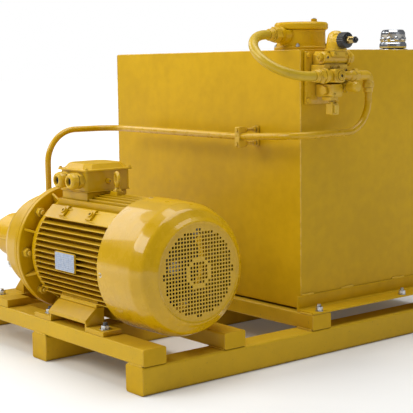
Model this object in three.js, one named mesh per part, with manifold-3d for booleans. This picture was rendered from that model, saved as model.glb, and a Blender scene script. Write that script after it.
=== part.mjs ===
// Skid-mounted hydraulic power unit: foot- and flange-mounted electric motor,
// bellhousing, coupling and pump beside a welded oil tank with return filter,
// breather, valve block, bent steel pressure tube and return hose.
// Millimetres, +Z up. +X runs along the motor axis towards the fan, +Y from the
// motor to the tank. Inside the assembly group X = 0 is the fan-end face of the
// skid, Y = 0 its motor-side end and Z = 0 the floor.
import * as THREE from "three";
import { mergeVertices } from "three/addons/utils/BufferGeometryUtils.js";
import Module from "manifold-3d";

const wasm = await Module();
wasm.setup();

// ---------------------------------------------------------------- dimensions
const GAP = 0.3; // clearance between pieces that bear on each other
// skid
const SKID_L = 1380; // along X
const SKID_W = 1850; // along Y
const BEAM = 100; // square hollow section
const BEAM_T = 6;
const RAIL_W = 98; // flat-laid rectangular hollow section
const RAIL_H = 60;
const RAIL_T = 5;
const RAIL_Z = BEAM + GAP;
const DECK = RAIL_Z + RAIL_H; // 160.3
const MOTOR_RAILS = [5, 361];
const TANK_RAILS = [796, 1745];
const MID_BEAM_X = -719;
// tank
const TX0 = -1293, TX1 = -93, TY0 = 822, TY1 = 1822, TZ0 = 168.6, TZ1 = 1157;
const TWALL = 6;
const FOOT_T = 8;
const FILTER_X = -223, FILTER_Y = 952;
const BREATHER_X = -293, BREATHER_Y = 1564;
const SUCTION_X = -1195, SUCTION_Z = 240;
const HATCH_X = -900, HATCH_Z = 560, HATCH_R = 190;
const GAUGE_X = -330;
const DRAIN_X = -1100, DRAIN_Z = 208;
// motor
const AXIS_Y = 232, AXIS_Z = 398;
const FRAME_X0 = -712, FRAME_X1 = -262;
const CORE_R = 186, FIN_R = 223, TOP_FIN_R = 232, BORE_R = 165;
const FIN_PITCH = 20.5, FIN_TIP = 3.4, FIN_ROOT = 6.4;
const COWL_R = 239, COWL_X0 = -250, COWL_T = 2.6;
const FACE_R = 178, FACE_X = 19;
const GRILLE_R = 143, GRILLE_PITCH = 52, GRILLE_HOLE = 36;
const FLANGE_R = 245, FLANGE_X0 = -795, FLANGE_X1 = -775;
const SHAFT_R = 30;
// pump set
const BELL_X0 = -985, BELL_X1 = FLANGE_X0 - GAP;
const PUMP_X0 = -1290, PUMP_X1 = BELL_X0 - GAP;
const PUMP_R = 92;
const PORT_X = -1205;
// lines
const TUBE_R = 13, HOSE_R = 18;
const CLAMP_X = -337;
const EYE_X = -460;
const HOSE_REACH = 6; // straight run of the hose before its bend

// ---------------------------------------------------------------- materials
const mat = (name, color, roughness, metalness) =>
  Object.assign(new THREE.MeshStandardMaterial({ color, roughness, metalness }), { name });
const PAINT = mat("yellow_paint", 0xc29614, 0.3, 0.1);
const STEEL = mat("bright_steel", 0x9a9a98, 0.35, 1);
const ZINC = mat("zinc", 0xb9bcc0, 0.35, 1);
const CHROME = mat("chrome", 0xd5d7da, 0.12, 1);
const CAST = mat("cast_iron", 0x4c5157, 0.6, 0.6);
const BLUE = mat("pump_paint", 0x56636d, 0.4, 0.2);
const BLACK = mat("black_plastic", 0x15171a, 0.5, 0);
const RUBBER = mat("rubber", 0x1c1c1d, 0.8, 0);
const COPPER = mat("copper", 0x9b5b33, 0.4, 1);
const BRASS = mat("brass", 0xb08d3e, 0.3, 1);
const PAPER = mat("filter_paper", 0xd8d0b8, 0.9, 0);

// ---------------------------------------------------------------- geometry
const bare = (g) => {
  const n = g.index ? g.toNonIndexed() : g.clone();
  n.deleteAttribute("normal");
  n.deleteAttribute("uv");
  return mergeVertices(n, 1e-4);
};
const solid = (g) => {
  if (g instanceof wasm.Manifold) return g;
  const b = bare(g);
  return new wasm.Manifold(
    new wasm.Mesh({
      numProp: 3,
      vertProperties: b.attributes.position.array,
      triVerts: new Uint32Array(b.index.array),
    }),
  );
};
const join = (first, ...rest) => rest.reduce((a, b) => a.add(solid(b)), solid(first));
const cut = (first, ...rest) => rest.reduce((a, b) => a.subtract(solid(b)), solid(first));
const geometry = (s) => {
  if (!(s instanceof wasm.Manifold)) return s;
  const m = s.getMesh(), n = m.numProp, v = new Float32Array(m.numVert * 3);
  for (let i = 0; i < m.numVert; i++) v.set(m.vertProperties.subarray(i * n, i * n + 3), i * 3);
  const g = new THREE.BufferGeometry();
  g.setAttribute("position", new THREE.BufferAttribute(v, 3));
  g.setIndex(new THREE.BufferAttribute(new Uint32Array(m.triVerts), 1));
  g.computeVertexNormals();
  return g;
};
const box = (x0, x1, y0, y1, z0, z1) =>
  new THREE.BoxGeometry(x1 - x0, y1 - y0, z1 - z0).translate((x0 + x1) / 2, (y0 + y1) / 2, (z0 + z1) / 2);
const AX = {
  x: [new THREE.Vector3(0, 1, 0), new THREE.Vector3(0, 0, 1), new THREE.Vector3(1, 0, 0)],
  y: [new THREE.Vector3(1, 0, 0), new THREE.Vector3(0, 0, 1), new THREE.Vector3(0, -1, 0)],
  z: [new THREE.Vector3(1, 0, 0), new THREE.Vector3(0, 1, 0), new THREE.Vector3(0, 0, 1)],
};
const basis = (axis) => new THREE.Matrix4().makeBasis(...AX[axis]);
// A 2-D outline run along an axis between a and b. The outline is (Y,Z) for x, (X,Z) for y, (X,Y) for z.
const prism = (shape, axis, a, b) => {
  const g = new THREE.ExtrudeGeometry(shape, { depth: b - a, bevelEnabled: false, curveSegments: 8, steps: 1 });
  g.translate(0, 0, axis === "y" ? -b : a);
  return g.applyMatrix4(basis(axis));
};
const outline = (pts) => new THREE.Shape(pts.map(([x, y]) => new THREE.Vector2(x, y)));
// sides of a round outline: enough for its size
const sides = (n) => (n <= 12 ? Math.min(n, 8) : Math.min(32, Math.max(10, 2 * Math.round(n * 0.29))));
const ring = (r, n, cx = 0, cy = 0, turn = 0) =>
  Array.from({ length: n }, (_, i) => {
    const t = turn + (2 * Math.PI * i) / n;
    return [cx + r * Math.cos(t), cy + r * Math.sin(t)];
  });
const withHole = (shape, pts) => {
  shape.holes.push(new THREE.Path(pts.map(([x, y]) => new THREE.Vector2(x, y))));
  return shape;
};
const disc = (axis, r, a, b, c1 = 0, c2 = 0, n = 32) => prism(outline(ring(r, sides(n), c1, c2)), axis, a, b);
const hexnut = (axis, af, a, b, c1 = 0, c2 = 0, turn = 0) =>
  prism(outline(ring(af / Math.sqrt(3), 6, c1, c2, turn)), axis, a, b);
const pipe = (axis, ro, ri, a, b, c1 = 0, c2 = 0, n = 32) =>
  prism(withHole(outline(ring(ro, sides(n), c1, c2)), ring(ri, sides(n), c1, c2)), axis, a, b);
// A profile of [along the axis, radius] turned round the X axis (or Z axis).
const turned = (pts, axis, n = 40, c = [0, 0, 0]) => {
  if (pts[0][1] > 0) pts = [...pts, pts[0]]; // a hollow ring closes on itself
  const g = new THREE.LatheGeometry(pts.map(([a, r]) => new THREE.Vector2(r, a)), sides(n));
  const m = new THREE.Matrix4();
  if (axis === "x") m.makeRotationZ(-Math.PI / 2);
  if (axis === "y") m.identity();
  if (axis === "z") m.makeRotationX(Math.PI / 2);
  g.applyMatrix4(m).translate(...c);
  let s = bare(g);
  // faces outward
  const p = s.attributes.position, ix = s.index.array;
  let vol = 0;
  const A = new THREE.Vector3(), B = new THREE.Vector3(), C = new THREE.Vector3();
  for (let i = 0; i < ix.length; i += 3) {
    A.fromBufferAttribute(p, ix[i]); B.fromBufferAttribute(p, ix[i + 1]); C.fromBufferAttribute(p, ix[i + 2]);
    vol += A.dot(B.cross(C));
  }
  if (vol < 0) for (let i = 0; i < ix.length; i += 3) { const t = ix[i + 1]; ix[i + 1] = ix[i + 2]; ix[i + 2] = t; }
  return s;
};
const roundedRect = (x0, x1, y0, y1, r, n = 4) => {
  const pts = [];
  n = Math.min(n, 2);
  const arc = (cx, cy, t0) => {
    for (let i = 0; i <= n; i++) {
      const t = t0 + (Math.PI / 2) * (i / n);
      pts.push([cx + r * Math.cos(t), cy + r * Math.sin(t)]);
    }
  };
  arc(x1 - r, y0 + r, -Math.PI / 2);
  arc(x1 - r, y1 - r, 0);
  arc(x0 + r, y1 - r, Math.PI / 2);
  arc(x0 + r, y0 + r, Math.PI);
  return pts;
};
// A path of straight runs joined by bends, sampled only where it turns.
class Route extends THREE.Curve {
  constructor(corners, radii, perBend = 7) {
    super();
    const P = corners.map((c) => new THREE.Vector3(...c));
    this.at = [P[0].clone()];
    this.dir = [P[1].clone().sub(P[0]).normalize()];
    for (let i = 1; i < P.length - 1; i++) {
      const a = P[i].clone().sub(P[i - 1]).normalize(), b = P[i + 1].clone().sub(P[i]).normalize();
      const turn = Math.acos(THREE.MathUtils.clamp(a.dot(b), -1, 1)), R = radii[i - 1];
      const d = R * Math.tan(turn / 2);
      const s = P[i].clone().addScaledVector(a, -d);
      const inw = b.clone().addScaledVector(a, -a.dot(b)).normalize();
      const c = s.clone().addScaledVector(inw, R);
      for (let k = 0; k <= perBend; k++) {
        const t = (turn * k) / perBend;
        this.at.push(c.clone().addScaledVector(inw, -R * Math.cos(t)).addScaledVector(a, R * Math.sin(t)));
        this.dir.push(a.clone().multiplyScalar(Math.cos(t)).addScaledVector(inw, Math.sin(t)));
      }
    }
    this.at.push(P[P.length - 1].clone());
    this.dir.push(P[P.length - 1].clone().sub(P[P.length - 2]).normalize());
  }
  get steps() { return this.at.length - 1; }
  getPoint(t, target = new THREE.Vector3()) { return target.copy(this.at[Math.round(t * this.steps)]); }
  getPointAt(t, target) { return this.getPoint(t, target); }
  getTangent(t, target = new THREE.Vector3()) { return target.copy(this.dir[Math.round(t * this.steps)]); }
  getTangentAt(t, target) { return this.getTangent(t, target); }
}
// A hose through given points.
class Through extends Route {
  constructor(points, d0, d1) {
    super([points[0], points[points.length - 1]], []);
    this.at = points.map((p) => new THREE.Vector3(...p));
    this.dir = this.at.map((p, i) =>
      i === 0 ? new THREE.Vector3(...d0)
      : i === points.length - 1 ? new THREE.Vector3(...d1)
      : this.at[i + 1].clone().sub(this.at[i - 1]).normalize());
  }
}
const along = (route, r, n) =>
  new THREE.ExtrudeGeometry(outline(ring(r, n, 0, 0, Math.PI / n)), {
    steps: route.steps, extrudePath: route, bevelEnabled: false,
  });

// ---------------------------------------------------------------- scene graph
const unit = new THREE.Group();
unit.name = "hydraulic_power_unit";
const assembly = new THREE.Group();
unit.add(assembly);
const group = (name, x, y, z) => {
  const g = new THREE.Group();
  g.name = name;
  g.position.set(x, y, z);
  assembly.add(g);
  return g;
};
const part = (parent, name, shape, material) => {
  const m = new THREE.Mesh(geometry(shape), material);
  m.name = name;
  parent.add(m);
  return m;
};

// ================================================================ skid
const skid = group("skid", 0, 0, 0);
const beam = (x0) =>
  cut(
    prism(outline(roundedRect(x0, x0 + BEAM, 0, BEAM, 9)), "y", 0, SKID_W),
    prism(outline(roundedRect(x0 + BEAM_T, x0 + BEAM - BEAM_T, BEAM_T, BEAM - BEAM_T, 4)), "y", BEAM_T, SKID_W - BEAM_T),
    disc("z", 6, -1, BEAM_T + 1, x0 + BEAM / 2, SKID_W / 2, 12), // drain hole in the underside
  );
part(skid, "skid_beam_front", beam(-BEAM), PAINT);
part(skid, "skid_beam_middle", beam(MID_BEAM_X), PAINT);
part(skid, "skid_beam_rear", beam(-SKID_L), PAINT);
const rail = (y0) =>
  cut(
    prism(outline(roundedRect(y0, y0 + RAIL_W, RAIL_Z, RAIL_Z + RAIL_H, 7)), "x", -SKID_L, 0),
    prism(outline(roundedRect(y0 + RAIL_T, y0 + RAIL_W - RAIL_T, RAIL_Z + RAIL_T, RAIL_Z + RAIL_H - RAIL_T, 3)), "x", -SKID_L + RAIL_T, -RAIL_T),
    disc("z", 6, RAIL_Z - 1, RAIL_Z + RAIL_T + 1, -400, y0 + RAIL_W / 2, 12),
  );
part(skid, "motor_rail_outer", rail(MOTOR_RAILS[0]), PAINT);
part(skid, "motor_rail_inner", rail(MOTOR_RAILS[1]), PAINT);
part(skid, "tank_rail_inner", rail(TANK_RAILS[0]), PAINT);
part(skid, "tank_rail_rear", rail(TANK_RAILS[1]), PAINT);

// ================================================================ tank
const tank = group("tank", 0, 0, 0);
part(
  tank,
  "tank_shell",
  cut(
    box(TX0, TX1, TY0, TY1, TZ0, TZ1),
    box(TX0 + TWALL, TX1 - TWALL, TY0 + TWALL, TY1 - TWALL, TZ0 + TWALL, TZ1 - TWALL),
    disc("z", 74, TZ1 - 20, TZ1 + 5, FILTER_X, FILTER_Y, 36),
    disc("z", 34, TZ1 - 20, TZ1 + 5, BREATHER_X, BREATHER_Y, 24),
    disc("y", HATCH_R - 30, TY1 - 20, TY1 + 5, HATCH_X, HATCH_Z, 40),
    disc("y", 32, TY0 - 5, TY0 + 20, SUCTION_X, SUCTION_Z, 24),
  ).add(solid(join(disc("y", 20, TY1 - 1, TY1 + 14, DRAIN_X, DRAIN_Z, 20), hexnut("y", 30, TY1 + 13, TY1 + 26, DRAIN_X, DRAIN_Z)))), // welded drain socket with its plug
  PAINT,
);
const footAngle = (x, s) => {
  // s = +1: flange turned towards +X
  const w = s > 0 ? 92 : 86;
  const pts = [[x, DECK + GAP], [x + s * w, DECK + GAP], [x + s * w, DECK + GAP + FOOT_T],
    [x + s * FOOT_T, DECK + GAP + FOOT_T], [x + s * FOOT_T, 219], [x, 219]];
  return prism(outline(s > 0 ? pts : pts.slice().reverse()), "y", 800, 1843);
};
part(tank, "tank_foot_front", footAngle(TX1 + GAP, 1), PAINT);
part(tank, "tank_foot_rear", footAngle(TX0 - GAP, -1), PAINT);
part(
  tank,
  "tank_baffle",
  cut(
    box(-720, -714, TY0 + TWALL + 1, TY1 - TWALL - 1, TZ0 + TWALL + 1, TZ1 - 220),
    box(-730, -700, TY1 - 220, TY1, TZ0, TZ0 + 130),
  ),
  STEEL,
);
const hatchBolts = ring(HATCH_R - 14, 6, HATCH_X, HATCH_Z, Math.PI / 12).map(([x, z]) => hexnut("y", 19, TY1 + 11, TY1 + 21, x, z));
part(
  tank,
  "cleanout_cover",
  join(disc("y", HATCH_R, TY1 + 1, TY1 + 11.5, HATCH_X, HATCH_Z, 48), disc("y", 17, TY1 + 11, TY1 + 24, HATCH_X, HATCH_Z, 16), ...hatchBolts),
  PAINT,
);
part(
  tank,
  "level_gauge_body",
  cut(
    box(GAUGE_X - 20, GAUGE_X + 20, TY1 + GAP, TY1 + 26, 620, 960),
    box(GAUGE_X - 12.5, GAUGE_X + 12.5, TY1 + 8, TY1 + 30, 658, 922),
  ),
  BLACK,
);

// ================================================================ return filter
const filter = group("return_filter", FILTER_X, FILTER_Y, TZ1);
const PORT_Z = 58; // port height above the tank top
part(
  filter,
  "return_filter_head",
  cut(
    join(
      disc("z", 106, GAP, 12, 0, 0, 40),
      disc("z", 95, 11, 77, 0, 0, 40),
      // port boss, tapering out of the side and level under the lid
      cut(turned([[-60, 0], [-60, 46], [-88, 44], [-106, 31], [-122, 30.5], [-122, 0]], "y", 44, [0, 0, PORT_Z]), box(-60, 60, -105.5, -50, 77, 130)),
    ),
    disc("z", 78, 14, 90, 0, 0, 32),
    disc("z", 71, -5, 20, 0, 0, 32),
    disc("y", 18, -130, -40, 0, PORT_Z, 16),
  ),
  PAINT,
);
part(
  filter,
  "return_filter_lid",
  join(
    turned([[77.3, 0], [77.3, 98], [81, 104], [100, 104], [106, 98], [108.5, 90], [108.5, 0]], "z", 36),
    disc("z", 74, 68, 78, 0, 0, 32),
    hexnut("z", 22, 108, 121, 28, 42),
    disc("z", 7, 120, 124, 28, 42, 12),
  ),
  PAINT,
);
part(filter, "return_filter_bowl", cut(disc("z", 68, -330, 13, 0, 0, 32), disc("z", 65.5, -326, 20, 0, 0, 32), disc("z", 20, -340, -320, 0, 0, 12)), STEEL);
part(filter, "return_filter_element", cut(
  prism(withHole(outline(Array.from({ length: 32 }, (_, i) => {
    const t = (2 * Math.PI * i) / 32, r = i % 2 ? 60 : 52;
    return [r * Math.cos(t), r * Math.sin(t)];
  })), ring(30, 20)), "z", -300, 60), disc("z", 32, 50, 70, 0, 0, 20)), PAPER);
// hose tail at the filter: union nut, collar and crimped ferrule
part(
  filter,
  "filter_hose_fitting",
  cut(
    join(hexnut("y", 56, -150, -122.3, 0, PORT_Z), disc("y", 25, -158, -149, 0, PORT_Z, 20), disc("y", 23, -174, -157, 0, PORT_Z, 24)),
    disc("y", 12, -200, -110, 0, PORT_Z, 12),
  ),
  PAINT,
);

// ================================================================ breather
const breather = group("breather", BREATHER_X, BREATHER_Y, TZ1);
part(
  breather,
  "breather_flange",
  cut(join(disc("z", 64, GAP, 7, 0, 0, 36), disc("z", 45, 6, 22, 0, 0, 28), disc("z", 31, -90, 5, 0, 0, 24)), disc("z", 28, -86, 40, 0, 0, 24)),
  CHROME,
);
part(
  breather,
  "breather_cap",
  turned([[89, 0], [89, 39], [85.5, 48], [79, 52], [32, 53], [28, 57], [9, 58], [9, 48], [77, 47], [85, 38], [85, 0]], "z", 44),
  CHROME,
);

// ================================================================ motor
const motor = group("motor", 0, AXIS_Y, AXIS_Z);
// finned frame: parallel fins, level on the flanks and upright above and below,
// as one closed section run along the axis
const finSection = () => {
  const pts = [];
  const side = (turn, kmax, r, from = 0, to = 4) => {
    const run = [];
    for (let k = -kmax; k <= kmax; k++) {
      const c = k * FIN_PITCH;
      const root = (d) => Math.sqrt(CORE_R * CORE_R - (c + d) * (c + d));
      const tip = Math.sqrt(r * r - c * c) + (Math.abs(k) > 5 ? 3 : 0);
      run.push([root(-FIN_ROOT / 2), c - FIN_ROOT / 2], [tip, c - FIN_TIP / 2], [tip, c + FIN_TIP / 2], [root(FIN_ROOT / 2), c + FIN_ROOT / 2]);
    }
    pts.push(...run.slice(from, run.length - (4 - to)).map(turn));
  };
  // flat shoulders at the upper quarters carry the lifting lugs
  side(([u, v]) => [u, v], 7, FIN_R, 0, 3);
  pts.push([168, 149], [132, 187.5], [121.5, 187.5], [121, 141.3]);
  side(([u, v]) => [-v, u], 5, TOP_FIN_R);
  pts.push([-121, 141.3], [-121.5, 187.5], [-132, 187.5], [-168, 149]);
  side(([u, v]) => [-u, -v], 7, FIN_R, 1, 4);
  side(([u, v]) => [v, -u], 5, TOP_FIN_R);
  return withHole(outline(pts), ring(BORE_R, 24));
};
const lugs = [];
for (const x of [-588, -408]) for (const s of [-1, 1]) {
  const pts = [[124, 150], [164, 150], [173, 157], [139, 193], [124, 184]];
  const o = s > 0 ? pts : pts.map(([a, b]) => [-a, b]).reverse();
  lugs.push(prism(outline(o), "x", x - 26, x + 26));
}
part(
  motor,
  "motor_frame",
  cut(
    join(
      prism(finSection(), "x", FRAME_X0, FRAME_X1),
      ...lugs,
      box(-700, -527, -90, 90, 170, 240), // terminal box seat
      prism(outline([[-22, 200], [22, 200], [16, 244], [-16, 244]]), "x", EYE_X - 20, EYE_X + 20), // eyebolt boss
      prism(outline([[-174, -158.5], [-143.5, -158.5], [-143.5, -104], [-150, -107], [-174, -150]].reverse()), "x", -600, -357), // foot seats
      prism(outline([[174, -158.5], [143.5, -158.5], [143.5, -104], [150, -107], [174, -150]]), "x", -600, -357),
    ),
    box(-660, -566, -46, 46, 150, 250), // cable opening into the terminal box
  ),
  PAINT,
);
const foot = (s) => {
  // pads at both ends with a raised, sloping bridge between them; s = -1 outer, +1 inner
  const m = (pts) => (s < 0 ? pts : pts.map(([a, b]) => [-a, b]).reverse());
  const z0 = DECK + GAP - AXIS_Z;
  const padY = m([[-222, z0], [-143, z0], [-143, z0 + 17], [-222, z0 + 17]]);
  const bridge = m([[-224, z0 + 30], [-219, z0 + 30], [-172, z0 + 68], [-143, z0 + 68], [-143, z0 + 78], [-180, z0 + 78], [-224, z0 + 39]]);
  const web = m([[-222, z0 + 16], [-143, z0 + 16], [-143, z0 + 78], [-180, z0 + 78], [-222, z0 + 40]]);
  const inner = m([[-158, z0], [-143, z0], [-143, z0 + 78], [-158, z0 + 78]]);
  const parts = [
    prism(outline(padY), "x", -712, -594),
    prism(outline(padY), "x", -363, -245),
    prism(outline(bridge), "x", -602, -355),
    prism(outline(web), "x", -602, -593),
    prism(outline(web), "x", -364, -355),
    prism(outline(inner), "x", -600, -357),
  ];
  // holding-down bolts
  const cy = s * 186;
  for (const x of [-655, -284]) parts.push(disc("z", 15, z0 + 16, z0 + 19, x, cy, 18), hexnut("z", 24, z0 + 18, z0 + 33, x, cy), disc("z", 8, z0 + 32, z0 + 40, x, cy, 12));
  return join(...parts);
};
part(motor, "motor_foot_outer", foot(-1), PAINT);
part(motor, "motor_foot_inner", foot(1), PAINT);
const shieldRibs = Array.from({ length: 8 }, (_, i) => {
  const t = (Math.PI / 4) * i + Math.PI / 8;
  const g = box(FLANGE_X1 - 2, FRAME_X0 - GAP - 6, 150, 226, -5, 5);
  return g.applyMatrix4(new THREE.Matrix4().makeRotationX(t));
});
part(
  motor,
  "motor_drive_shield",
  cut(
    join(
      disc("x", FLANGE_R, FLANGE_X0, FLANGE_X1, 0, 0, 64),
      turned([[FLANGE_X1 - 2, 0], [FLANGE_X1 - 2, 172], [-762, 168], [-748, 198], [-742, 208], [FRAME_X0 - GAP, 211], [FRAME_X0 - GAP, 0]], "x", 48),
      ...shieldRibs,
    ),
    disc("x", 57, -757, -700, 0, 0, 32),
    disc("x", 160, -728, -700, 0, 0, 40),
    disc("x", SHAFT_R + 6, -800, -700, 0, 0, 28),
  ),
  PAINT,
);
part(
  motor,
  "motor_fan_shield",
  cut(
    join(disc("x", 196, FRAME_X1 + GAP, -248, 0, 0, 48), disc("x", 70, -249, -226, 0, 0, 28), disc("x", 90, -280, -260, 0, 0, 32)),
    disc("x", 52, -285, -238, 0, 0, 32),
    disc("x", SHAFT_R + 6, -300, -200, 0, 0, 24),
  ),
  PAINT,
);
part(motor, "motor_bearing_drive", pipe("x", 55, SHAFT_R + 6, -756.5, -727.5, 0, 0, 32), STEEL);
part(motor, "motor_bearing_fan", pipe("x", 50, SHAFT_R + 6, -266, -239, 0, 0, 32), STEEL);
part(
  motor,
  "stator",
  join(pipe("x", BORE_R - 2.6, 131, -620, -350, 0, 0, 40), pipe("x", 156, 136, -670, -619, 0, 0, 40), pipe("x", 156, 136, -351, -300, 0, 0, 40)),
  COPPER,
);
part(
  motor,
  "rotor_shaft",
  turned([[-905, 0], [-905, SHAFT_R], [-758, SHAFT_R], [-758, 33], [-726, 33], [-722, 38], [-622, 38], [-622, 127], [-348, 127], [-348, 38], [-272, 38], [-268, 33], [-236, 33], [-236, 25], [-120, 25], [-120, 0]], "x", 32),
  STEEL,
);
part(
  motor,
  "cooling_fan",
  cut(
    join(
      disc("x", 60, -196, -120, 0, 0, 28),
      disc("x", 175, -200, -195, 0, 0, 36),
      ...Array.from({ length: 7 }, (_, i) => box(-199, -95, 40, 198, -2.5, 2.5).applyMatrix4(new THREE.Matrix4().makeRotationX((2 * Math.PI * i) / 7))),
    ),
    disc("x", 27, -210, -90, 0, 0, 32),
  ),
  BLACK,
);
const grille = [];
for (let i = -2; i <= 2; i++) for (let j = -2; j <= 2; j++) {
  const y = i * GRILLE_PITCH, z = j * GRILLE_PITCH, h = GRILLE_HOLE / 2;
  if (Math.hypot(Math.abs(y) + h, Math.abs(z) + h) < GRILLE_R + 14) grille.push(box(FACE_X - 12, FACE_X + 6, y - h, y + h, z - h, z + h));
}
const cowlOuter = [[FACE_X, 0], [FACE_X, FACE_R - 7], [FACE_X + 3, FACE_R - 3], [8, 198], [-15, 223], [-53, 235], [COWL_X0, COWL_R]];
const cowlInner = [[COWL_X0, COWL_R - COWL_T], [-54, 235 - COWL_T], [-17, 222 - COWL_T], [5, 197 - COWL_T], [FACE_X - COWL_T, FACE_R - 6], [FACE_X - COWL_T, 0]];
part(motor, "fan_cowl", cut(turned([...cowlOuter, ...cowlInner], "x", 56), ...grille), PAINT);
// terminal box
const BX0 = -702, BX1 = -525, BY0 = -95, BY1 = 104, GLAND_Z = 283;
part(
  motor,
  "terminal_box",
  cut(
    join(
      prism(outline(roundedRect(BX0, BX1, BY0, BY1, 12)), "z", 240 + GAP, 317),
      prism(outline(ring(7, 12, 4, 278)), "x", BX1 - 1, BX1 + 14),
    ),
    box(BX0 + 7, BX1 - 7, BY0 + 7, BY1 - 7, 248, 340),
    box(-660, -566, -46, 46, 230, 250),
    disc("y", 17, BY0 - 5, BY0 + 12, -645, GLAND_Z, 16),
    disc("y", 17, BY0 - 5, BY0 + 12, -560, GLAND_Z, 16),
  ),
  PAINT,
);
const lidRing = (dx, dy, c, z) => {
  const x0 = -712 + dx, x1 = -515 - dx, y0 = -102 + dy, y1 = 111 - dy;
  return [[x0 + c, y0], [x1 - c, y0], [x1, y0 + c], [x1, y1 - c], [x1 - c, y1], [x0 + c, y1], [x0, y1 - c], [x0, y0 + c]].map(([x, y]) => new THREE.Vector3(x, y, z));
};
// a stack of eight-sided sections
const stack = (levels) => {
  const v = [], f = [], n = levels[0].length;
  levels.forEach((l) => l.forEach((p) => v.push(p.x, p.y, p.z)));
  for (let k = 0; k < levels.length - 1; k++) for (let i = 0; i < n; i++) {
    const a = k * n + i, b = k * n + ((i + 1) % n), c = a + n, d = b + n;
    f.push(a, b, d, a, d, c);
  }
  const top = (levels.length - 1) * n;
  for (let i = 1; i < n - 1; i++) f.push(0, i + 1, i, top, top + i, top + i + 1);
  const g = new THREE.BufferGeometry();
  g.setAttribute("position", new THREE.BufferAttribute(new Float32Array(v), 3));
  g.setIndex(f);
  return g;
};
part(
  motor,
  "terminal_box_lid",
  join(
    stack([lidRing(0, 0, 10, 317.3), lidRing(0, 0, 10, 323.5), lidRing(10, 10, 22, 325.5), lidRing(24, 24, 24, 345)]),
    ...[[-703, -93], [-524, -93], [-703, 102], [-524, 102]].map(([x, y]) => disc("z", 6.5, 322, 330, x, y, 10)),
  ),
  PAINT,
);
for (const [name, x] of [["cable_gland_near", -560], ["cable_gland_far", -645]])
  part(
    motor,
    name,
    cut(
      join(hexnut("y", 52, BY0 - 22, BY0 - GAP, x, GLAND_Z), disc("y", 25, BY0 - 28, BY0 - 21, x, GLAND_Z, 24),
        turned([[BY0 - 27, 0], [BY0 - 27, 30], [BY0 - 46, 30], [BY0 - 56, 26], [BY0 - 56, 0]], "y", 28, [x, 0, GLAND_Z])),
      disc("y", 15, BY0 - 70, BY0 + 5, x, GLAND_Z, 16),
    ),
    PAINT,
  );
part(
  motor,
  "eyebolt",
  join(
    disc("z", 15, 244 + GAP, 250, EYE_X, 0, 20),
    disc("z", 9, 249, 259, EYE_X, 0, 16),
    new THREE.TorusGeometry(24.5, 7.5, 8, 14).rotateX(Math.PI / 2).rotateZ(-0.38).translate(EYE_X, 0, 287),
  ),
  PAINT,
);

// ================================================================ bellhousing, coupling, pump
const bellBolts = ring(150, 6, 0, 0, Math.PI / 6).map(([y, z]) => hexnut("x", 24, BELL_X0 - 13, BELL_X0 + 1, y, z));
part(
  motor,
  "bellhousing",
  cut(
    turned([
      [BELL_X1, 205], [BELL_X1, FLANGE_R], [-815, FLANGE_R], [-816, 216], [-900, 204], [-950, 198], [-975, 190], [BELL_X0, 176],
      [BELL_X0, 62.5], [-968, 62.5], [-968, 150], [-950, 174], [-925, 182], [-812, 193], [-803, 205],
    ], "x", 52),
    box(-900, -850, -60, 60, 140, 260), // inspection window in the top
  ),
  PAINT,
);
const sector = (a0, a1, r0, r1, n = 6) => {
  const pts = [];
  for (let i = 0; i <= n; i++) { const t = a0 + ((a1 - a0) * i) / n; pts.push([r1 * Math.cos(t), r1 * Math.sin(t)]); }
  for (let i = n; i >= 0; i--) { const t = a0 + ((a1 - a0) * i) / n; pts.push([r0 * Math.cos(t), r0 * Math.sin(t)]); }
  return outline(pts);
};
const D = Math.PI / 180;
part(
  motor,
  "coupling_motor_half",
  join(pipe("x", 55, SHAFT_R + 2, -898, -835, 0, 0, 30), ...[0, 120, 240].map((a) => prism(sector((a - 24) * D, (a + 24) * D, 35, 53, 3), "x", -919, -897))),
  CAST,
);
part(
  motor,
  "coupling_spider",
  join(
    pipe("x", 32, 16, -917.5, -905.5, 0, 0, 24),
    ...[30, 90, 150, 210, 270, 330].map((a) => prism(sector((a - 5) * D, (a + 5) * D, 29, 52, 1), "x", -917.5, -905.5)),
  ),
  RUBBER,
);
part(
  motor,
  "coupling_pump_half",
  join(pipe("x", 55, 22, -966, -920, 0, 0, 30), ...[60, 180, 300].map((a) => prism(sector((a - 24) * D, (a + 24) * D, 35, 53, 3), "x", -921, -899))),
  CAST,
);
const portBlock = join(
  box(-1245, -1165, 60, 100, -40, 40),
  box(-1240, -1150, -42, 42, -110, -60),
);
part(
  motor,
  "pump_body",
  cut(
    join(
      disc("x", 62, PUMP_X1 - 2, BELL_X0 + 12, 0, 0, 32),
      prism(outline(roundedRect(-125, 125, -62, 62, 40, 5)), "x", -1008, PUMP_X1),
      turned([[-1010, 0], [-1010, 78], [-1006, 78], [-1006, 0]], "x", 32),
      disc("x", PUMP_R, -1120, -1007, 0, 0, 36),
      disc("x", PUMP_R - 6, -1125, -1115, 0, 0, 36),
      disc("x", PUMP_R, -1262, -1121, 0, 0, 36),
      disc("x", PUMP_R - 14, PUMP_X0, -1260, 0, 0, 32),
      portBlock,
    ),
    disc("x", 46, -1255, -960, 0, 0, 28),
    disc("y", 13, 40, 110, PORT_X, 0, 16),
    disc("z", 26, -120, -30, SUCTION_X, 0, 20),
  ),
  PAINT,
);
part(motor, "pump_shaft", turned([[-1250, 0], [-1250, 18], [-1225, 18], [-1225, 43], [-1020, 43], [-1015, 22], [-1000, 20], [-928, 20], [-928, 0]], "x", 28), STEEL);

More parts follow.
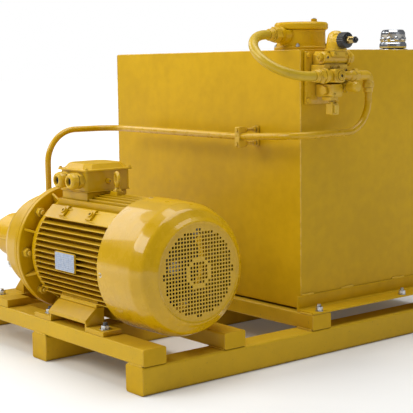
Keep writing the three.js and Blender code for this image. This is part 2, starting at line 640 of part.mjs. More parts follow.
// support bracket under the bellhousing: base plate over both rails, upright plate and two gussets
part(
  skid,
  "bellhousing_support",
  cut(
    join(
      box(-1118, -915, 8, 456, DECK + GAP, 190),
      box(-1012, -998, 130, 334, 189, 288),
      prism(outline([[-1011, 189], [-1011, 262], [-1085, 189]]), "y", 134, 146),
      prism(outline([[-1011, 189], [-1011, 262], [-1085, 189]]), "y", 318, 330),
    ),
    disc("x", 129, -1100, -990, AXIS_Y, AXIS_Z, 40),
    disc("x", 241, -990, -900, AXIS_Y, AXIS_Z, 52), // clears the underside of the bellhousing
  ),
  PAINT,
);

// ================================================================ suction line
const suction = group("suction", SUCTION_X, 0, SUCTION_Z);
const sucTop = AXIS_Z - 110 - GAP - SUCTION_Z; // underside of the pump's suction pad
part(
  suction,
  "suction_elbow",
  join(
    box(-40, 40, AXIS_Y - 40, AXIS_Y + 40, sucTop - 16, sucTop),
    along(new Route([[0, AXIS_Y, sucTop - 8], [0, AXIS_Y, 0], [0, AXIS_Y + 90, 0]], [31], 4), 30, 12),
    disc("y", 30, AXIS_Y + 60, 489, 0, 0, 16),
    disc("y", 46, 484, 494, 0, 0, 24),
  ),
  PAINT,
);
part(suction, "suction_compensator", turned([[494.3, 24], [494.3, 50], [506, 50], [512, 38], [530, 38], [545, 52], [572, 52], [587, 38], [605, 38], [611, 50], [622, 50], [622, 24]], "y", 28), RUBBER);
part(
  suction,
  "suction_valve_body",
  cut(
    join(disc("y", 46, 622.3, 634, 0, 0, 24), disc("y", 34, 633, 720, 0, 0, 24), disc("y", 50, 650, 705, 0, 0, 28), disc("z", 16, 30, 66, 0, 677, 16), disc("y", 30, 719, 806, 0, 0, 20), disc("y", 50, 806, TY0 - GAP, 0, 0, 28)),
    disc("y", 26, 600, 840, 0, 0, 20),
  ),
  PAINT,
);
part(
  suction,
  "suction_valve_lever",
  join(
    disc("z", 14, 66.3, 76, 0, 677, 16),
    prism(outline([[-9, 677], [9, 677], [8, 570], [10, 520], [-10, 520], [-8, 570]].reverse()), "z", 68, 74),
    prism(outline(roundedRect(-11, 11, 505, 575, 8, 3)), "z", 63, 79),
  ),
  BLACK,
);

// ================================================================ valve group on the tank wall
const valves = group("valve_group", TX1, 0, 0);
const plateBolts = [[850, 966], [850, 1136], [998, 966], [998, 1136]].map(([y, z]) => hexnut("x", 19, 11, 22, y, z));
part(valves, "valve_mount_plate", join(box(GAP, 12, 838, 1010, 952, 1150), ...plateBolts), PAINT);
const DOME = [73.3, 936]; // relief valve axis
// stepped valve block with its cross bores closed by plugs
part(
  valves,
  "manifold_block",
  cut(
    join(
      box(12.3, 86, 862, 986, 1037, 1100),
      box(12.3, 80, 872, 980, 1099, 1149),
      box(40, 104, 896, 972, 1128, 1149),
      disc("y", 24, 862, 986, 66, 1124, 24),
      disc("y", 31, 984, 1006, 66, 1124, 28),
      hexnut("y", 42, 1005, 1030, 66, 1124),
      hexnut("y", 30, 845, 863, 66, 1128),
      disc("y", 21, 846, 1010, 93, 1058, 24), // main gallery
      disc("y", 29, 846, 862, 93, 1058, 28),
      box(72, 121, 884, 936, 1033, 1084),
      hexnut("x", 46, 120, 133, 910, 1058, Math.PI / 6),
    ),
    disc("x", 11, 126, 140, 910, 1058, 12),
    disc("x", 4.5, 80, 110, 876, 1126, 10),
  ),
  PAINT,
);
part(
  valves,
  "lower_block",
  join(box(12.3, 100, 890, 946, 978, 1027), hexnut("y", 34, 877, 891, 62, 1004), box(40, 92, 892, 930, 966, 979)),
  PAINT,
);
part(
  valves,
  "cartridge_valve",
  join(hexnut("x", 38, 86.3, 104, 971, 1015), disc("x", 20, 103, 150, 971, 1015, 24), disc("x", 16, 149, 156, 971, 1015, 20), box(12.3, 86.6, 948, 990, 994, 1036)),
  PAINT,
);
part(
  valves,
  "pressure_switch",
  join(box(66, 100, 890, 926, 912, 960), disc("z", 12, 959, 965.7, 80, 908, 16), prism(outline(roundedRect(90, 107, 897, 919, 4, 2)), "z", 918, 950)),
  PAINT,
);
part(
  valves,
  "relief_valve_body",
  cut(
    join(
      disc("z", 42, 1149.3, 1158, DOME[0], DOME[1], 28),
      turned([[1157, 0], [1157, 37], [1196, 33], [1215, 27], [1224, 16], [1226, 0]], "z", 28, [...DOME, 0]),
      disc("x", 22, 80, 111, 925, 1189, 24),
    ),
    disc("x", 10.5, 96, 130, 925, 1189, 16),
  ),
  PAINT,
);
// adjuster: ribbed disc with its threaded stem and locknut
part(
  valves,
  "relief_valve_knob",
  join(
    prism(outline(Array.from({ length: 28 }, (_, i) => {
      const t = (2 * Math.PI * i) / 28, r = i % 2 ? 30 : 27.5;
      return [925 + r * Math.cos(t), 1189 + r * Math.sin(t)];
    })), "x", 111.3, 148),
    disc("x", 8.5, 98, 112, 925, 1189, 16),
    disc("x", 17, 147, 148.6, 925, 1189, 20),
  ),
  BLACK,
);
part(valves, "relief_valve_stem", join(hexnut("x", 27, 149, 159.5, 925, 1189), disc("x", 12.5, 159, 186, 925, 1189, 20), disc("x", 7, 185, 194, 925, 1189, 12)), BRASS);
// union fittings on the main gallery
part(
  valves,
  "manifold_hose_fitting",
  cut(
    join(disc("y", 23, 800, 822, 93, 1058, 24), disc("y", 25, 821, 828, 93, 1058, 20), hexnut("y", 50, 827, 845.7, 93, 1058)),
    disc("y", 12, 790, 850, 93, 1058, 12),
  ),
  PAINT,
);
part(
  valves,
  "pressure_elbow",
  join(
    hexnut("y", 46, 1010.3, 1032, 90, 1058),
    disc("y", 20, 1031, 1100, 90, 1058, 24),
    new THREE.SphereGeometry(21, 12, 8).translate(90, 1096, 1058),
    disc("z", 19, 1036, 1060, 90, 1096, 24),
    hexnut("z", 40, 1010.3, 1037, 90, 1096),
  ),
  PAINT,
);

// ================================================================ pressure tube and its clamp
const lines = group("lines", 0, 0, 0);
const TUBE_X = -3, TUBE_Y = 732;
const tube = new Route(
  [
    [PORT_X, AXIS_Y + 101, AXIS_Z], [PORT_X, 388, AXIS_Z], [PORT_X, 388, 833], [PORT_X, TUBE_Y, 833],
    [CLAMP_X, TUBE_Y, 826], [TUBE_X, TUBE_Y, 840], [TUBE_X, 1096, 845], [TUBE_X, 1096, 1010],
  ],
  [44, 140, 100, 60, 100, 122],
  4,
);
part(lines, "pressure_tube", join(along(tube, TUBE_R, 10), box(PORT_X - 34, PORT_X + 34, AXIS_Y + 100 + GAP, AXIS_Y + 118, AXIS_Z - 24, AXIS_Z + 24)), PAINT);
part(
  lines,
  "pipe_clamp",
  cut(
    join(
      box(CLAMP_X - 13, CLAMP_X + 13, TUBE_Y - 18, TUBE_Y + 18, 784, 864),
      disc("y", 6, 745, TY0 - 9, CLAMP_X, 852, 12), disc("y", 6, 745, TY0 - 9, CLAMP_X, 798, 12),
      hexnut("y", 19, 749.5, 760, CLAMP_X, 852), hexnut("y", 19, 749.5, 760, CLAMP_X, 798),
      box(CLAMP_X - 13, CLAMP_X + 13, TY0 - 10, TY0 - GAP, 784, 866),
    ),
    disc("x", TUBE_R + 2, CLAMP_X - 30, CLAMP_X + 30, TUBE_Y, 826.2, 24),
  ),
  PAINT,
);

// ================================================================ return hose
// leaves the filter port square, swings out and down, and comes back square into the valve block
const H0 = [FILTER_X, FILTER_Y - 174.3, TZ1 + PORT_Z], H1 = [0, 799.7, 1058];
const hosePoints = (() => {
  const a = new THREE.Vector3(...H0), b = new THREE.Vector3(...H1);
  const out = new THREE.Vector3(0, -1, 0);
  const p = a.clone().addScaledVector(out, HOSE_REACH), q = b.clone();
  q.y = p.y;
  const c = p.clone().add(q).multiplyScalar(0.5), e = p.clone().sub(q), R = e.length() / 2;
  e.normalize();
  const pts = [a];
  for (let i = 0; i <= 18; i++) {
    const t = (Math.PI * i) / 18;
    const s = c.clone().addScaledVector(e, R * Math.cos(t)).addScaledVector(out, R * Math.sin(t));
    s.z -= 6 * Math.sin(t) ** 2;
    pts.push(s);
  }
  pts.push(q.clone().lerp(b, 0.5), b);
  return pts.map((v) => v.toArray());
})();
part(lines, "return_hose", along(new Through(hosePoints, [0, -1, 0], [0, 1, 0]), HOSE_R, 10), PAINT);

// the unit stands centred on the middle of its footprint
assembly.position.set(639.5, -918.5, 0);

export default unit;
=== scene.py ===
# Looks of the hydraulic power unit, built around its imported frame.
import bpy, bmesh, math
from math import pi, sin, cos, radians, hypot, sqrt, atan2, tan, acos
from mathutils import Vector, Matrix, noise
from mathutils.geometry import delaunay_2d_cdt


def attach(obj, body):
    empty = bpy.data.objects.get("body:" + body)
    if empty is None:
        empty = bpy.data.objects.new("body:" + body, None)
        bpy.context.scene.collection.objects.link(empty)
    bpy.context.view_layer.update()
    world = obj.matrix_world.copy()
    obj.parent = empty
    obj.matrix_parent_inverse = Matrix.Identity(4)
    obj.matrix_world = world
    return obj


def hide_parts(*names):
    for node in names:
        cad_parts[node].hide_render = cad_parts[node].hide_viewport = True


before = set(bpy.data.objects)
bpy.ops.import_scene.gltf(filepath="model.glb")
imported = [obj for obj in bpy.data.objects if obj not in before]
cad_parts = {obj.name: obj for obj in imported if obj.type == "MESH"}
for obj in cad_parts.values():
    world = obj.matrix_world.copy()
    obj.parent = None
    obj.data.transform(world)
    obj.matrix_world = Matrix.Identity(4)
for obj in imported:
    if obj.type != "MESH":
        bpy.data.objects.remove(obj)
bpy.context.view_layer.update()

OX, OY = 639.5, -918.5            # working millimetres to the part's own frame
def M(x, y, z):
    return Vector(((x + OX) / 1000, (y + OY) / 1000, z / 1000))

# ------------------------------------------------------------------ camera
def place_camera():
    a, p, r = radians(50.85), radians(-7.0), radians(-0.71)
    fwd = Vector((-sin(a) * cos(p), cos(a) * cos(p), sin(p)))
    right = Vector((cos(a), sin(a), 0))
    up = right.cross(fwd)
    r2, u2 = cos(r) * right + sin(r) * up, -sin(r) * right + cos(r) * up
    m = Matrix((r2, u2, -fwd)).transposed().to_4x4()
    m.translation = M(2996.29, -2155.21, 1094.43)
    data = bpy.data.cameras.new("camera")
    data.lens, data.sensor_width, data.clip_end = 98.67, 36, 300
    cam = bpy.data.objects.new("camera", data)
    cam.matrix_world = m
    bpy.context.scene.collection.objects.link(cam)
    bpy.context.scene.camera = cam
place_camera()

# ------------------------------------------------------------------ shapes
# Each shape is (verts, faces) in working millimetres.
def box(x0, x1, y0, y1, z0, z1):
    v = [(x, y, z) for z in (z0, z1) for y in (y0, y1) for x in (x0, x1)]
    return v, [(0, 2, 3, 1), (4, 5, 7, 6), (0, 1, 5, 4), (2, 6, 7, 3), (0, 4, 6, 2), (1, 3, 7, 5)]

def rnd(pts, closed=False, default=0, n=4):
    """Corners rounded by each point's third value."""
    out, N = [], len(pts)
    for i, p in enumerate(pts):
        r = p[2] if len(p) > 2 else default
        if (not closed and i in (0, N - 1)) or r <= 0:
            out.append((p[0], p[1])); continue
        a, b, c = Vector(pts[i - 1][:2]), Vector(p[:2]), Vector(pts[(i + 1) % N][:2])
        u, v = a - b, c - b
        lu, lv = u.length, v.length
        if lu < 1e-6 or lv < 1e-6:
            out.append((p[0], p[1])); continue
        u.normalize(); v.normalize()
        ang = acos(max(-1, min(1, u.dot(v))))
        if ang > pi - 0.04:
            out.append((b.x, b.y)); continue
        d = min(r / tan(ang / 2), lu * 0.49, lv * 0.49)
        rr = d * tan(ang / 2)
        cen = b + (u + v).normalized() * (rr / sin(ang / 2))
        s, e = b + u * d, b + v * d
        a0, a1 = atan2(s.y - cen.y, s.x - cen.x), atan2(e.y - cen.y, e.x - cen.x)
        da = (a1 - a0 + pi) % (2 * pi) - pi
        for k in range(n + 1):
            t = a0 + da * k / n
            out.append((cen.x + rr * cos(t), cen.y + rr * sin(t)))
    return out

def rrect(x0, x1, y0, y1, r, n=5):
    return rnd([(x0, y0, r), (x1, y0, r), (x1, y1, r), (x0, y1, r)], True, n=n)

def circle(r, n=48, cx=0, cy=0, turn=0):
    return [(cx + r * cos(turn + 2 * pi * i / n), cy + r * sin(turn + 2 * pi * i / n)) for i in range(n)]

def put(axis, a, p, q):
    return (a, p, q) if axis == "x" else (p, a, q) if axis == "y" else (p, q, a)

def area2(pts):
    return sum(pts[i - 1][0] * pts[i][1] - pts[i][0] * pts[i - 1][1] for i in range(len(pts)))

def within(pts, x, y):
    c = False
    for i in range(len(pts)):
        (x0, y0), (x1, y1) = pts[i - 1], pts[i]
        if (y0 > y) != (y1 > y) and x < (x1 - x0) * (y - y0) / (y1 - y0) + x0:
            c = not c
    return c

def flat(outer, holes, keep=None):
    """2-D verts and triangles of an outline with holes."""
    verts, edges = [], []
    for loop in [outer, *holes]:
        s = len(verts)
        verts += [Vector(p) for p in loop]
        edges += [(s + i, s + (i + 1) % len(loop)) for i in range(len(loop))]
    vo, eo, fo, *_ = delaunay_2d_cdt(verts, edges, [], 0, 1e-5)
    tri = []
    for f in fo:
        cx, cy = sum(vo[i].x for i in f) / 3, sum(vo[i].y for i in f) / 3
        if keep(cx, cy) if keep else (within(outer, cx, cy) and not any(within(h, cx, cy) for h in holes)):
            tri.append(tuple(f))
    return [(v.x, v.y) for v in vo], tri

def layers(loops, closed_ring=False):
    """Faces between successive loops of equal length."""
    n, f = len(loops[0]), []
    v = [p for l in loops for p in l]
    for k in range(len(loops) - (0 if closed_ring else 1)):
        for i in range(n):
            a, b = k * n + i, k * n + (i + 1) % n
            c, d = ((k + 1) % len(loops)) * n + i, ((k + 1) % len(loops)) * n + (i + 1) % n
            f.append((a, b, d, c))
    return v, f

def prism(pts, axis, a, b, holes=(), chamfer=0, keep=None):
    if not holes:
        steps = [(a, 0), (b, 0)] if not chamfer else [(a, chamfer), (a + chamfer, 0), (b - chamfer, 0), (b, chamfer)]
        cx, cy = sum(p[0] for p in pts) / len(pts), sum(p[1] for p in pts) / len(pts)
        loops = []
        for s, c in steps:
            if c:
                w = max(hypot(p[0] - cx, p[1] - cy) for p in pts)
                k = 1 - c / w
                loops.append([put(axis, s, cx + (p[0] - cx) * k, cy + (p[1] - cy) * k) for p in pts])
            else:
                loops.append([put(axis, s, *p) for p in pts])
        v, f = layers(loops)
        n = len(pts)
        f += [tuple(range(n)), tuple(range(len(v) - n, len(v)))]
        return v, f
    v2, tri = flat(pts, holes, keep)
    n = len(v2)
    v = [put(axis, a, *p) for p in v2] + [put(axis, b, *p) for p in v2]
    f = [t for t in tri] + [tuple(i + n for i in t) for t in tri]
    seen = {}
    for t in tri:
        for i in range(3):
            e = (t[i], t[(i + 1) % 3])
            seen[tuple(sorted(e))] = seen.get(tuple(sorted(e)), 0) + 1
    for (i, j), c in seen.items():
        if c == 1:
            f.append((i, j, j + n, i + n))
    return v, f

def lathe(profile, axis, c=(0, 0, 0), n=56, default=0, fn=4):
    """A profile of (along, radius[, fillet]) turned round an axis through c."""
    closed = profile[0][1] > 1e-6
    pr = rnd(profile, closed, default, fn)
    v, f, rows = [], [], []
    for a, r in pr:
        if r < 1e-6:
            rows.append([len(v)]); v.append(put(axis, a, 0, 0))
        else:
            rows.append(list(range(len(v), len(v) + n)))
            v += [put(axis, a, r * cos(2 * pi * i / n), r * sin(2 * pi * i / n)) for i in range(n)]
    pairs = list(zip(rows, rows[1:])) + ([(rows[-1], rows[0])] if closed else [])
    for A, B in pairs:
        for i in range(n):
            j = (i + 1) % n
            if len(A) == 1 and len(B) == 1: continue
            if len(A) == 1: f.append((A[0], B[j], B[i]))
            elif len(B) == 1: f.append((A[i], A[j], B[0]))
            else: f.append((A[i], A[j], B[j], B[i]))
    return [(p[0] + c[0], p[1] + c[1], p[2] + c[2]) for p in v], f

def cyl(axis, r, a, b, c1=0, c2=0, n=40, e=0.8):
    e = min(e, r * 0.3, abs(b - a) * 0.3)
    c = put(axis, 0, c1, c2)
    return lathe([(a, 0), (a, r, e), (b, r, e), (b, 0)], axis, c, n, fn=2)

def pipe(axis, ro, ri, a, b, c1=0, c2=0, n=40, e=0.8):
    return lathe([(a, ri, e), (a, ro, e), (b, ro, e), (b, ri, e)], axis, put(axis, 0, c1, c2), n, fn=2)

def frames(P):
    T = []
    for i in range(len(P)):
        t = (P[min(i + 1, len(P) - 1)] - P[max(i - 1, 0)])
        T.append(t.normalized())
    ref = Vector((0, 0, 1)) if abs(T[0].z) < 0.9 else Vector((1, 0, 0))
    n = (ref - T[0] * ref.dot(T[0])).normalized()
    out = []
    for i, t in enumerate(T):
        if i:
            n = (n - t * n.dot(t)).normalized()
        out.append((n, t.cross(n)))
    return out

def sweep(points, radii, n=16, cap=True, section=None):
    P = [Vector(p) for p in points]
    F = frames(P)
    sec = section or [(cos(2 * pi * i / n), sin(2 * pi * i / n)) for i in range(n)]
    n = len(sec)
    rad = radii if isinstance(radii, (list, tuple)) else [radii] * len(P)
    loops = [[tuple(P[i] + (F[i][0] * s + F[i][1] * t) * rad[i]) for s, t in sec] for i in range(len(P))]
    v, f = layers(loops)
    if cap:
        f += [tuple(range(n)), tuple(range(len(v) - n, len(v)))]
    return v, f

def turn(vf, m):
    v, f = vf
    return [tuple(m @ Vector(p)) for p in v], f

def shift(vf, x=0, y=0, z=0):
    return [(p[0] + x, p[1] + y, p[2] + z) for p in vf[0]], vf[1]

def torus(R, r, c, axis="z", n=48, m=14):
    pts = [(r * cos(2 * pi * i / m), R + r * sin(2 * pi * i / m)) for i in range(m)]
    return lathe(pts, axis, c, n)

def toward(axis, sign=1):
    """Matrix that turns local +Z to the given axis."""
    if axis == "z": return Matrix.Identity(4) if sign > 0 else Matrix.Rotation(pi, 4, "X")
    if axis == "x": return Matrix.Rotation(sign * pi / 2, 4, "Y")
    return Matrix.Rotation(-sign * pi / 2, 4, "X")

def hexprism(af, z0, z1, spin=0.0):
    """Hexagon with the turned chamfer of a bolt head on its upper end."""
    R = af / sqrt(3)
    loops = []
    h = z1 - z0
    n = 36
    def rad(t):
        u = (t + pi / 6) % (pi / 3) - pi / 6
        return (af / 2) / cos(u)
    for z, lim in [(z0, R * 0.965), (z0 + h * 0.04, R), (z1 - min(2.2, h * 0.16), R), (z1 - min(1.1, h * 0.08), R * 0.955), (z1, R * 0.875)]:
        loops.append([(min(rad(2 * pi * i / n), lim) * cos(2 * pi * i / n + spin), min(rad(2 * pi * i / n), lim) * sin(2 * pi * i / n + spin), z) for i in range(n)])
    v, f = layers(loops)
    f += [tuple(range(n)), tuple(range(len(v) - n, len(v)))]
    return v, f

def screw_end(r, z0, z1, pitch=1.75):
    prof, z = [(z0, 0), (z0, r)], z0
    while z + pitch < z1 - 1:
        prof += [(z + pitch * 0.5, r * 0.9), (z + pitch, r)]
        z += pitch
    prof += [(z1, r * 0.86), (z1, 0)]
    return lathe(prof, "z", (0, 0, 0), 20)

def many(*shapes):
    v, f = [], []
    for sv, sf in shapes:
        o = len(v)
        v += list(sv); f += [tuple(i + o for i in t) for t in sf]
    return v, f

def bolt(p, axis="z", sign=1, af=19, h=None, washer=True, stud=0, spin=0.3):
    """Bolt head (or nut with a stud end) seated at p."""
    h = h or af * 0.62
    sh, z = [], 0.0
    if washer:
        sh.append(lathe([(0, 0), (0, af * 0.66), (2.2, af * 0.66, 0.6), (2.2, 0)], "z", n=32, fn=2)); z = 2.2
    sh.append(hexprism(af, z, z + h, spin))
    if stud:
        sh.append(screw_end(af * 0.31, z + h - 0.5, z + h + stud))
    m = Matrix.Translation(Vector(p)) @ toward(axis, sign)
    return turn(many(*sh), m)

def capscrew(p, axis="z", sign=1, d=12, h=None):
    """Socket-head cap screw seated at p, with its hexagon socket."""
    h = h or d * 0.8
    n = 36
    loops = []
    def c(r, z): return [(r * cos(2 * pi * i / n), r * sin(2 * pi * i / n), z) for i in range(n)]
    def hx(r, z): return [((r / cos((2 * pi * i / n + pi / 6) % (pi / 3) - pi / 6)) * cos(2 * pi * i / n), (r / cos((2 * pi * i / n + pi / 6) % (pi / 3) - pi / 6)) * sin(2 * pi * i / n), z) for i in range(n)]
    loops = [c(d / 2, 0), c(d / 2, h * 0.88), c(d * 0.46, h), hx(d * 0.26, h), hx(d * 0.25, h * 0.4)]
    v, f = layers(loops)
    f += [tuple(range(n)), tuple(range(len(v) - n, len(v)))]
    return turn((v, f), Matrix.Translation(Vector(p)) @ toward(axis, sign))

def weld(p0, p1, r=4.5, pitch=4.6, seed=1, squash=1.0, per=4):
    """A weld bead with its ripples, slightly uneven in width and line."""
    a, b = Vector(p0), Vector(p1)
    L = (b - a).length
    k = max(6, int(L / pitch * per))
    pts, rad = [], []
    d = (b - a).normalized()
    s1 = d.orthogonal().normalized(); s2 = d.cross(s1)
    for i in range(k + 1):
        t = i / k
        s = t * L
        w1 = noise.noise(Vector((s * 0.045, seed * 7.3, 0.5))) * r * 0.3
        w2 = noise.noise(Vector((s * 0.07, seed * 3.1, 4.5))) * r * 0.22
        pts.append(tuple(a + d * s + s1 * w1 + s2 * w2))
        ph = (s / pitch) % 1.0
        e = min(1.0, 0.45 + min(s, L - s) / (r * 1.6))
        rad.append(r * e * (0.86 + 0.2 * (ph ** 0.6)) * (1 + 0.12 * noise.noise(Vector((s * 0.11, seed, 9)))))
    return sweep(pts, rad, 8)

def weldpath(pts, r=3.5, seed=1, pitch=4.4):
    return many(*[weld(pts[i], pts[i + 1], r, pitch, seed + i) for i in range(len(pts) - 1)])

def route(corners, radii, per=14):
    """Straight runs joined by true bends."""
    P = [Vector(c) for c in corners]
    at = [P[0].copy()]
    for i in range(1, len(P) - 1):
        a, b = (P[i] - P[i - 1]).normalized(), (P[i + 1] - P[i]).normalized()
        ang = acos(max(-1, min(1, a.dot(b))))
        R = radii[i - 1]
        s = P[i] - a * (R * tan(ang / 2))
        inw = (b - a * a.dot(b)).normalized()
        c = s + inw * R
        for k in range(per + 1):
            t = ang * k / per
            at.append(c - inw * (R * cos(t)) + a * (R * sin(t)))
    at.append(P[-1].copy())
    return at

def dense(pts, step=12):
    """Catmull-Rom through the points."""
    P = [Vector(p) for p in pts]
    P = [P[0] * 2 - P[1]] + P + [P[-1] * 2 - P[-2]]
    out = []
    for i in range(1, len(P) - 2):
        n = max(1, int((P[i + 1] - P[i]).length / step))
        for k in range(n):
            t = k / n
            out.append(0.5 * ((2 * P[i]) + (P[i + 1] - P[i - 1]) * t + (2 * P[i - 1] - 5 * P[i] + 4 * P[i + 1] - P[i + 2]) * t * t + (3 * P[i] - P[i - 1] - 3 * P[i + 1] + P[i + 2]) * t ** 3))
    out.append(P[-2])
    return out

# ------------------------------------------------------------------ materials
class Graph:
    def __init__(s, name):
        s.m = bpy.data.materials.new(name)
        s.m.use_nodes = True
        s.t = s.m.node_tree
        s.b = s.t.nodes["Principled BSDF"]
        s.tc = s.new("ShaderNodeTexCoord").outputs["Object"]
        s.geo = s.new("ShaderNodeNewGeometry")
    def new(s, kind, **kw):
        n = s.t.nodes.new(kind)
        for k, v in kw.items():
            setattr(n, k, v)
        return n
    def link(s, a, b): s.t.links.new(a, b)
    def inp(s, sock, val):
        if hasattr(val, "is_output") or isinstance(val, bpy.types.NodeSocket): s.link(val, sock)
        else: sock.default_value = val
    def math(s, op, a, b=0.0, c=None, clamp=False):
        n = s.new("ShaderNodeMath", operation=op, use_clamp=clamp)
        s.inp(n.inputs[0], a); s.inp(n.inputs[1], b)
        if c is not None: s.inp(n.inputs[2], c)
        return n.outputs[0]
    def noise(s, scale, detail=3.0, rough=0.55, stretch=None, dist=0.0):
        n = s.new("ShaderNodeTexNoise")
        n.inputs["Scale"].default_value = scale
        n.inputs["Detail"].default_value = detail
        n.inputs["Roughness"].default_value = rough
        n.inputs["Distortion"].default_value = dist
        src = s.tc
        if stretch:
            mp = s.new("ShaderNodeMapping"); mp.inputs["Scale"].default_value = stretch
            s.link(s.tc, mp.inputs["Vector"]); src = mp.outputs[0]
        s.link(src, n.inputs["Vector"])
        return n.outputs["Fac"]
    def ramp(s, fac, lo, hi, a=0.0, b=1.0):
        n = s.new("ShaderNodeMapRange", clamp=True, interpolation_type="SMOOTHSTEP")
        s.link(fac, n.inputs["Value"])
        n.inputs["From Min"].default_value, n.inputs["From Max"].default_value = lo, hi
        n.inputs["To Min"].default_value, n.inputs["To Max"].default_value = a, b
        return n.outputs["Result"]
    def mix(s, fac, a, b, kind="MIX"):
        n = s.new("ShaderNodeMix", data_type="RGBA", blend_type=kind)
        s.inp(n.inputs[0], fac)
        for sock, v in ((n.inputs[6], a), (n.inputs[7], b)):
            if isinstance(v, tuple): sock.default_value = (*v, 1.0) if len(v) == 3 else v
            else: s.link(v, sock)
        return n.outputs[2]
    def ao(s, dist, samples=5):
        n = s.new("ShaderNodeAmbientOcclusion", samples=samples)
        n.inputs["Distance"].default_value = dist
        return n.outputs["AO"]
    def up(s):
        x = s.new("ShaderNodeSeparateXYZ"); s.link(s.geo.outputs["Normal"], x.inputs[0]); return x.outputs["Z"]
    def bump(s, height, strength, distance, prev=None):
        n = s.new("ShaderNodeBump")
        n.inputs["Strength"].default_value, n.inputs["Distance"].default_value = strength, distance
        s.link(height, n.inputs["Height"])
        if prev is not None: s.link(prev, n.inputs["Normal"])
        return n.outputs["Normal"]
    def out(s, color=None, rough=None, normal=None, metal=0.0, coat=0.0, coat_rough=0.1, spec=None):
        if color is not None: s.inp(s.b.inputs["Base Color"], (*color, 1.0) if isinstance(color, tuple) else color)
        if rough is not None: s.inp(s.b.inputs["Roughness"], rough)
        if normal is not None: s.link(normal, s.b.inputs["Normal"])
        s.b.inputs["Metallic"].default_value = metal
        s.b.inputs["Coat Weight"].default_value = coat
        s.b.inputs["Coat Roughness"].default_value = coat_rough
        if spec is not None: s.b.inputs["Specular IOR Level"].default_value = spec
        return s.m

YEL = (0.60, 0.345, 0.0)
def scaled(c, k): return tuple(min(1, x * k) for x in c)

def paint(name, base=YEL, rough=0.27, coat=0.35, peel=0.05, cast=0.0, panel=0.0, streak=0.0, grime_and_shade=0.6, grime_and_shade_reach=0.022, dust=0.35, chips=0.3, coat_rough=0.08, spec=0.3):
    g = Graph(name)
    big, mid, fine = g.noise(2.1, 3), g.noise(24, 6), g.noise(160, 3)
    tone = g.math("ADD", g.math("MULTIPLY", big, 0.62), g.math("MULTIPLY", mid, 0.38))
    col = g.mix(g.ramp(tone, 0.3, 0.72), scaled(base, 0.87), (min(1, base[0] * 1.08), base[1] * 1.1, base[2] * 1.3))
    if streak:
        st = g.noise(7.0, 5, 0.6, (1.0, 1.0, 0.07))
        col = g.mix(g.ramp(st, 0.42, 0.78, 0.0, streak), col, scaled(base, 0.72))
    # dust on what faces up
    upf = g.math("MULTIPLY", g.ramp(g.up(), 0.55, 0.98), g.ramp(mid, 0.3, 0.7, 0.35, 1.0))
    col = g.mix(g.math("MULTIPLY", upf, dust), col, (0.66, 0.45, 0.05))
    # convex edges painted lighter as a painted highlight, and small chips along them
    edge_highlight_and_chips = g.ramp(g.geo.outputs["Pointiness"], 0.53, 0.62)
    col = g.mix(g.math("MULTIPLY", edge_highlight_and_chips, 0.34), col, (0.78, 0.54, 0.06))
    if chips:
        spot = g.ramp(g.noise(95, 4, 0.7), 0.64, 0.69)
        col = g.mix(g.math("MULTIPLY", g.math("MULTIPLY", spot, edge_highlight_and_chips), chips), col, (0.10, 0.065, 0.03))
        fleck = g.ramp(g.noise(310, 2, 0.6), 0.735, 0.765)
        col = g.mix(g.math("MULTIPLY", fleck, chips * 0.45), col, (0.28, 0.15, 0.02))
    # grime in the corners, with painted shade: where ambient occlusion finds a corner the paint is darkened
    grime_and_painted_shade = g.math("MULTIPLY", g.ramp(g.ao(grime_and_shade_reach), 0.15, 0.85, 1.0, 0.0), g.ramp(g.noise(34, 5), 0.2, 0.75, 0.55, 1.0))
    grime_and_painted_shade = g.math("MULTIPLY", grime_and_painted_shade, grime_and_shade)
    col = g.mix(grime_and_painted_shade, col, scaled(base, 0.22) if base[2] < 0.1 else scaled(base, 0.15))
    r = g.math("ADD", g.ramp(mid, 0.25, 0.75, rough - 0.05, rough + 0.09), g.math("MULTIPLY", upf, 0.16))
    r = g.math("ADD", r, g.math("MULTIPLY", grime_and_painted_shade, 0.3), clamp=True)
    nrm = g.bump(g.noise(330, 2, 0.5), peel, 0.0012)
    if cast:
        nrm = g.bump(g.noise(150, 5, 0.65), cast, 0.0016, nrm)
        nrm = g.bump(g.noise(26, 3, 0.6), cast * 0.35, 0.004, nrm)
    if panel:
        nrm = g.bump(g.noise(2.3, 2, 0.4, (1, 1, 0.8)), panel, 0.02, nrm)
        nrm = g.bump(g.noise(13, 3, 0.5), panel * 0.3, 0.003, nrm)
    return g.out(col, r, nrm, 0.0, coat, coat_rough, spec)

def metal(name, base, rough, brushed=None, wear=0.3, spots=0.25, bump=0.08):
    g = Graph(name)
    mid = g.noise(42, 5)
    lines = g.noise(240, 3, 0.6, brushed) if brushed else g.noise(300, 3)
    col = g.mix(g.ramp(mid, 0.3, 0.7), scaled(base, 0.78), base)
    col = g.mix(g.math("MULTIPLY", g.ramp(g.noise(85, 5, 0.7), 0.56, 0.68), spots), col, (0.17, 0.11, 0.06))
    # painted shade with some grime: where ambient occlusion finds a corner the metal is darkened nearly to black
    grime_and_painted_shade = g.math("MULTIPLY", g.ramp(g.ao(0.012), 0.2, 0.85, 1.0, 0.0), 0.7)
    col = g.mix(grime_and_painted_shade, col, (0.035, 0.028, 0.02))
    r = g.ramp(g.math("ADD", g.math("MULTIPLY", mid, 0.5), g.math("MULTIPLY", lines, 0.5)), 0.3, 0.7, rough - wear * 0.3, rough + wear * 0.45)
    return g.out(col, r, g.bump(lines, bump, 0.0006), 1.0)

def plain(name, base, rough, bumpy=0.1, scale=260, vary=0.25, dusty=0.12, coat=0.0):
    g = Graph(name)
    mid = g.noise(30, 5)
    col = g.mix(g.ramp(mid, 0.3, 0.7), scaled(base, 1 - vary), scaled(base, 1 + vary))
    upf = g.math("MULTIPLY", g.ramp(g.up(), 0.4, 0.95), dusty)
    col = g.mix(upf, col, (0.35, 0.30, 0.22))
    r = g.ramp(g.noise(70, 4), 0.3, 0.7, rough - 0.08, rough + 0.1)
    return g.out(col, r, g.bump(g.noise(scale, 3), bumpy, 0.0008), 0.0, coat)

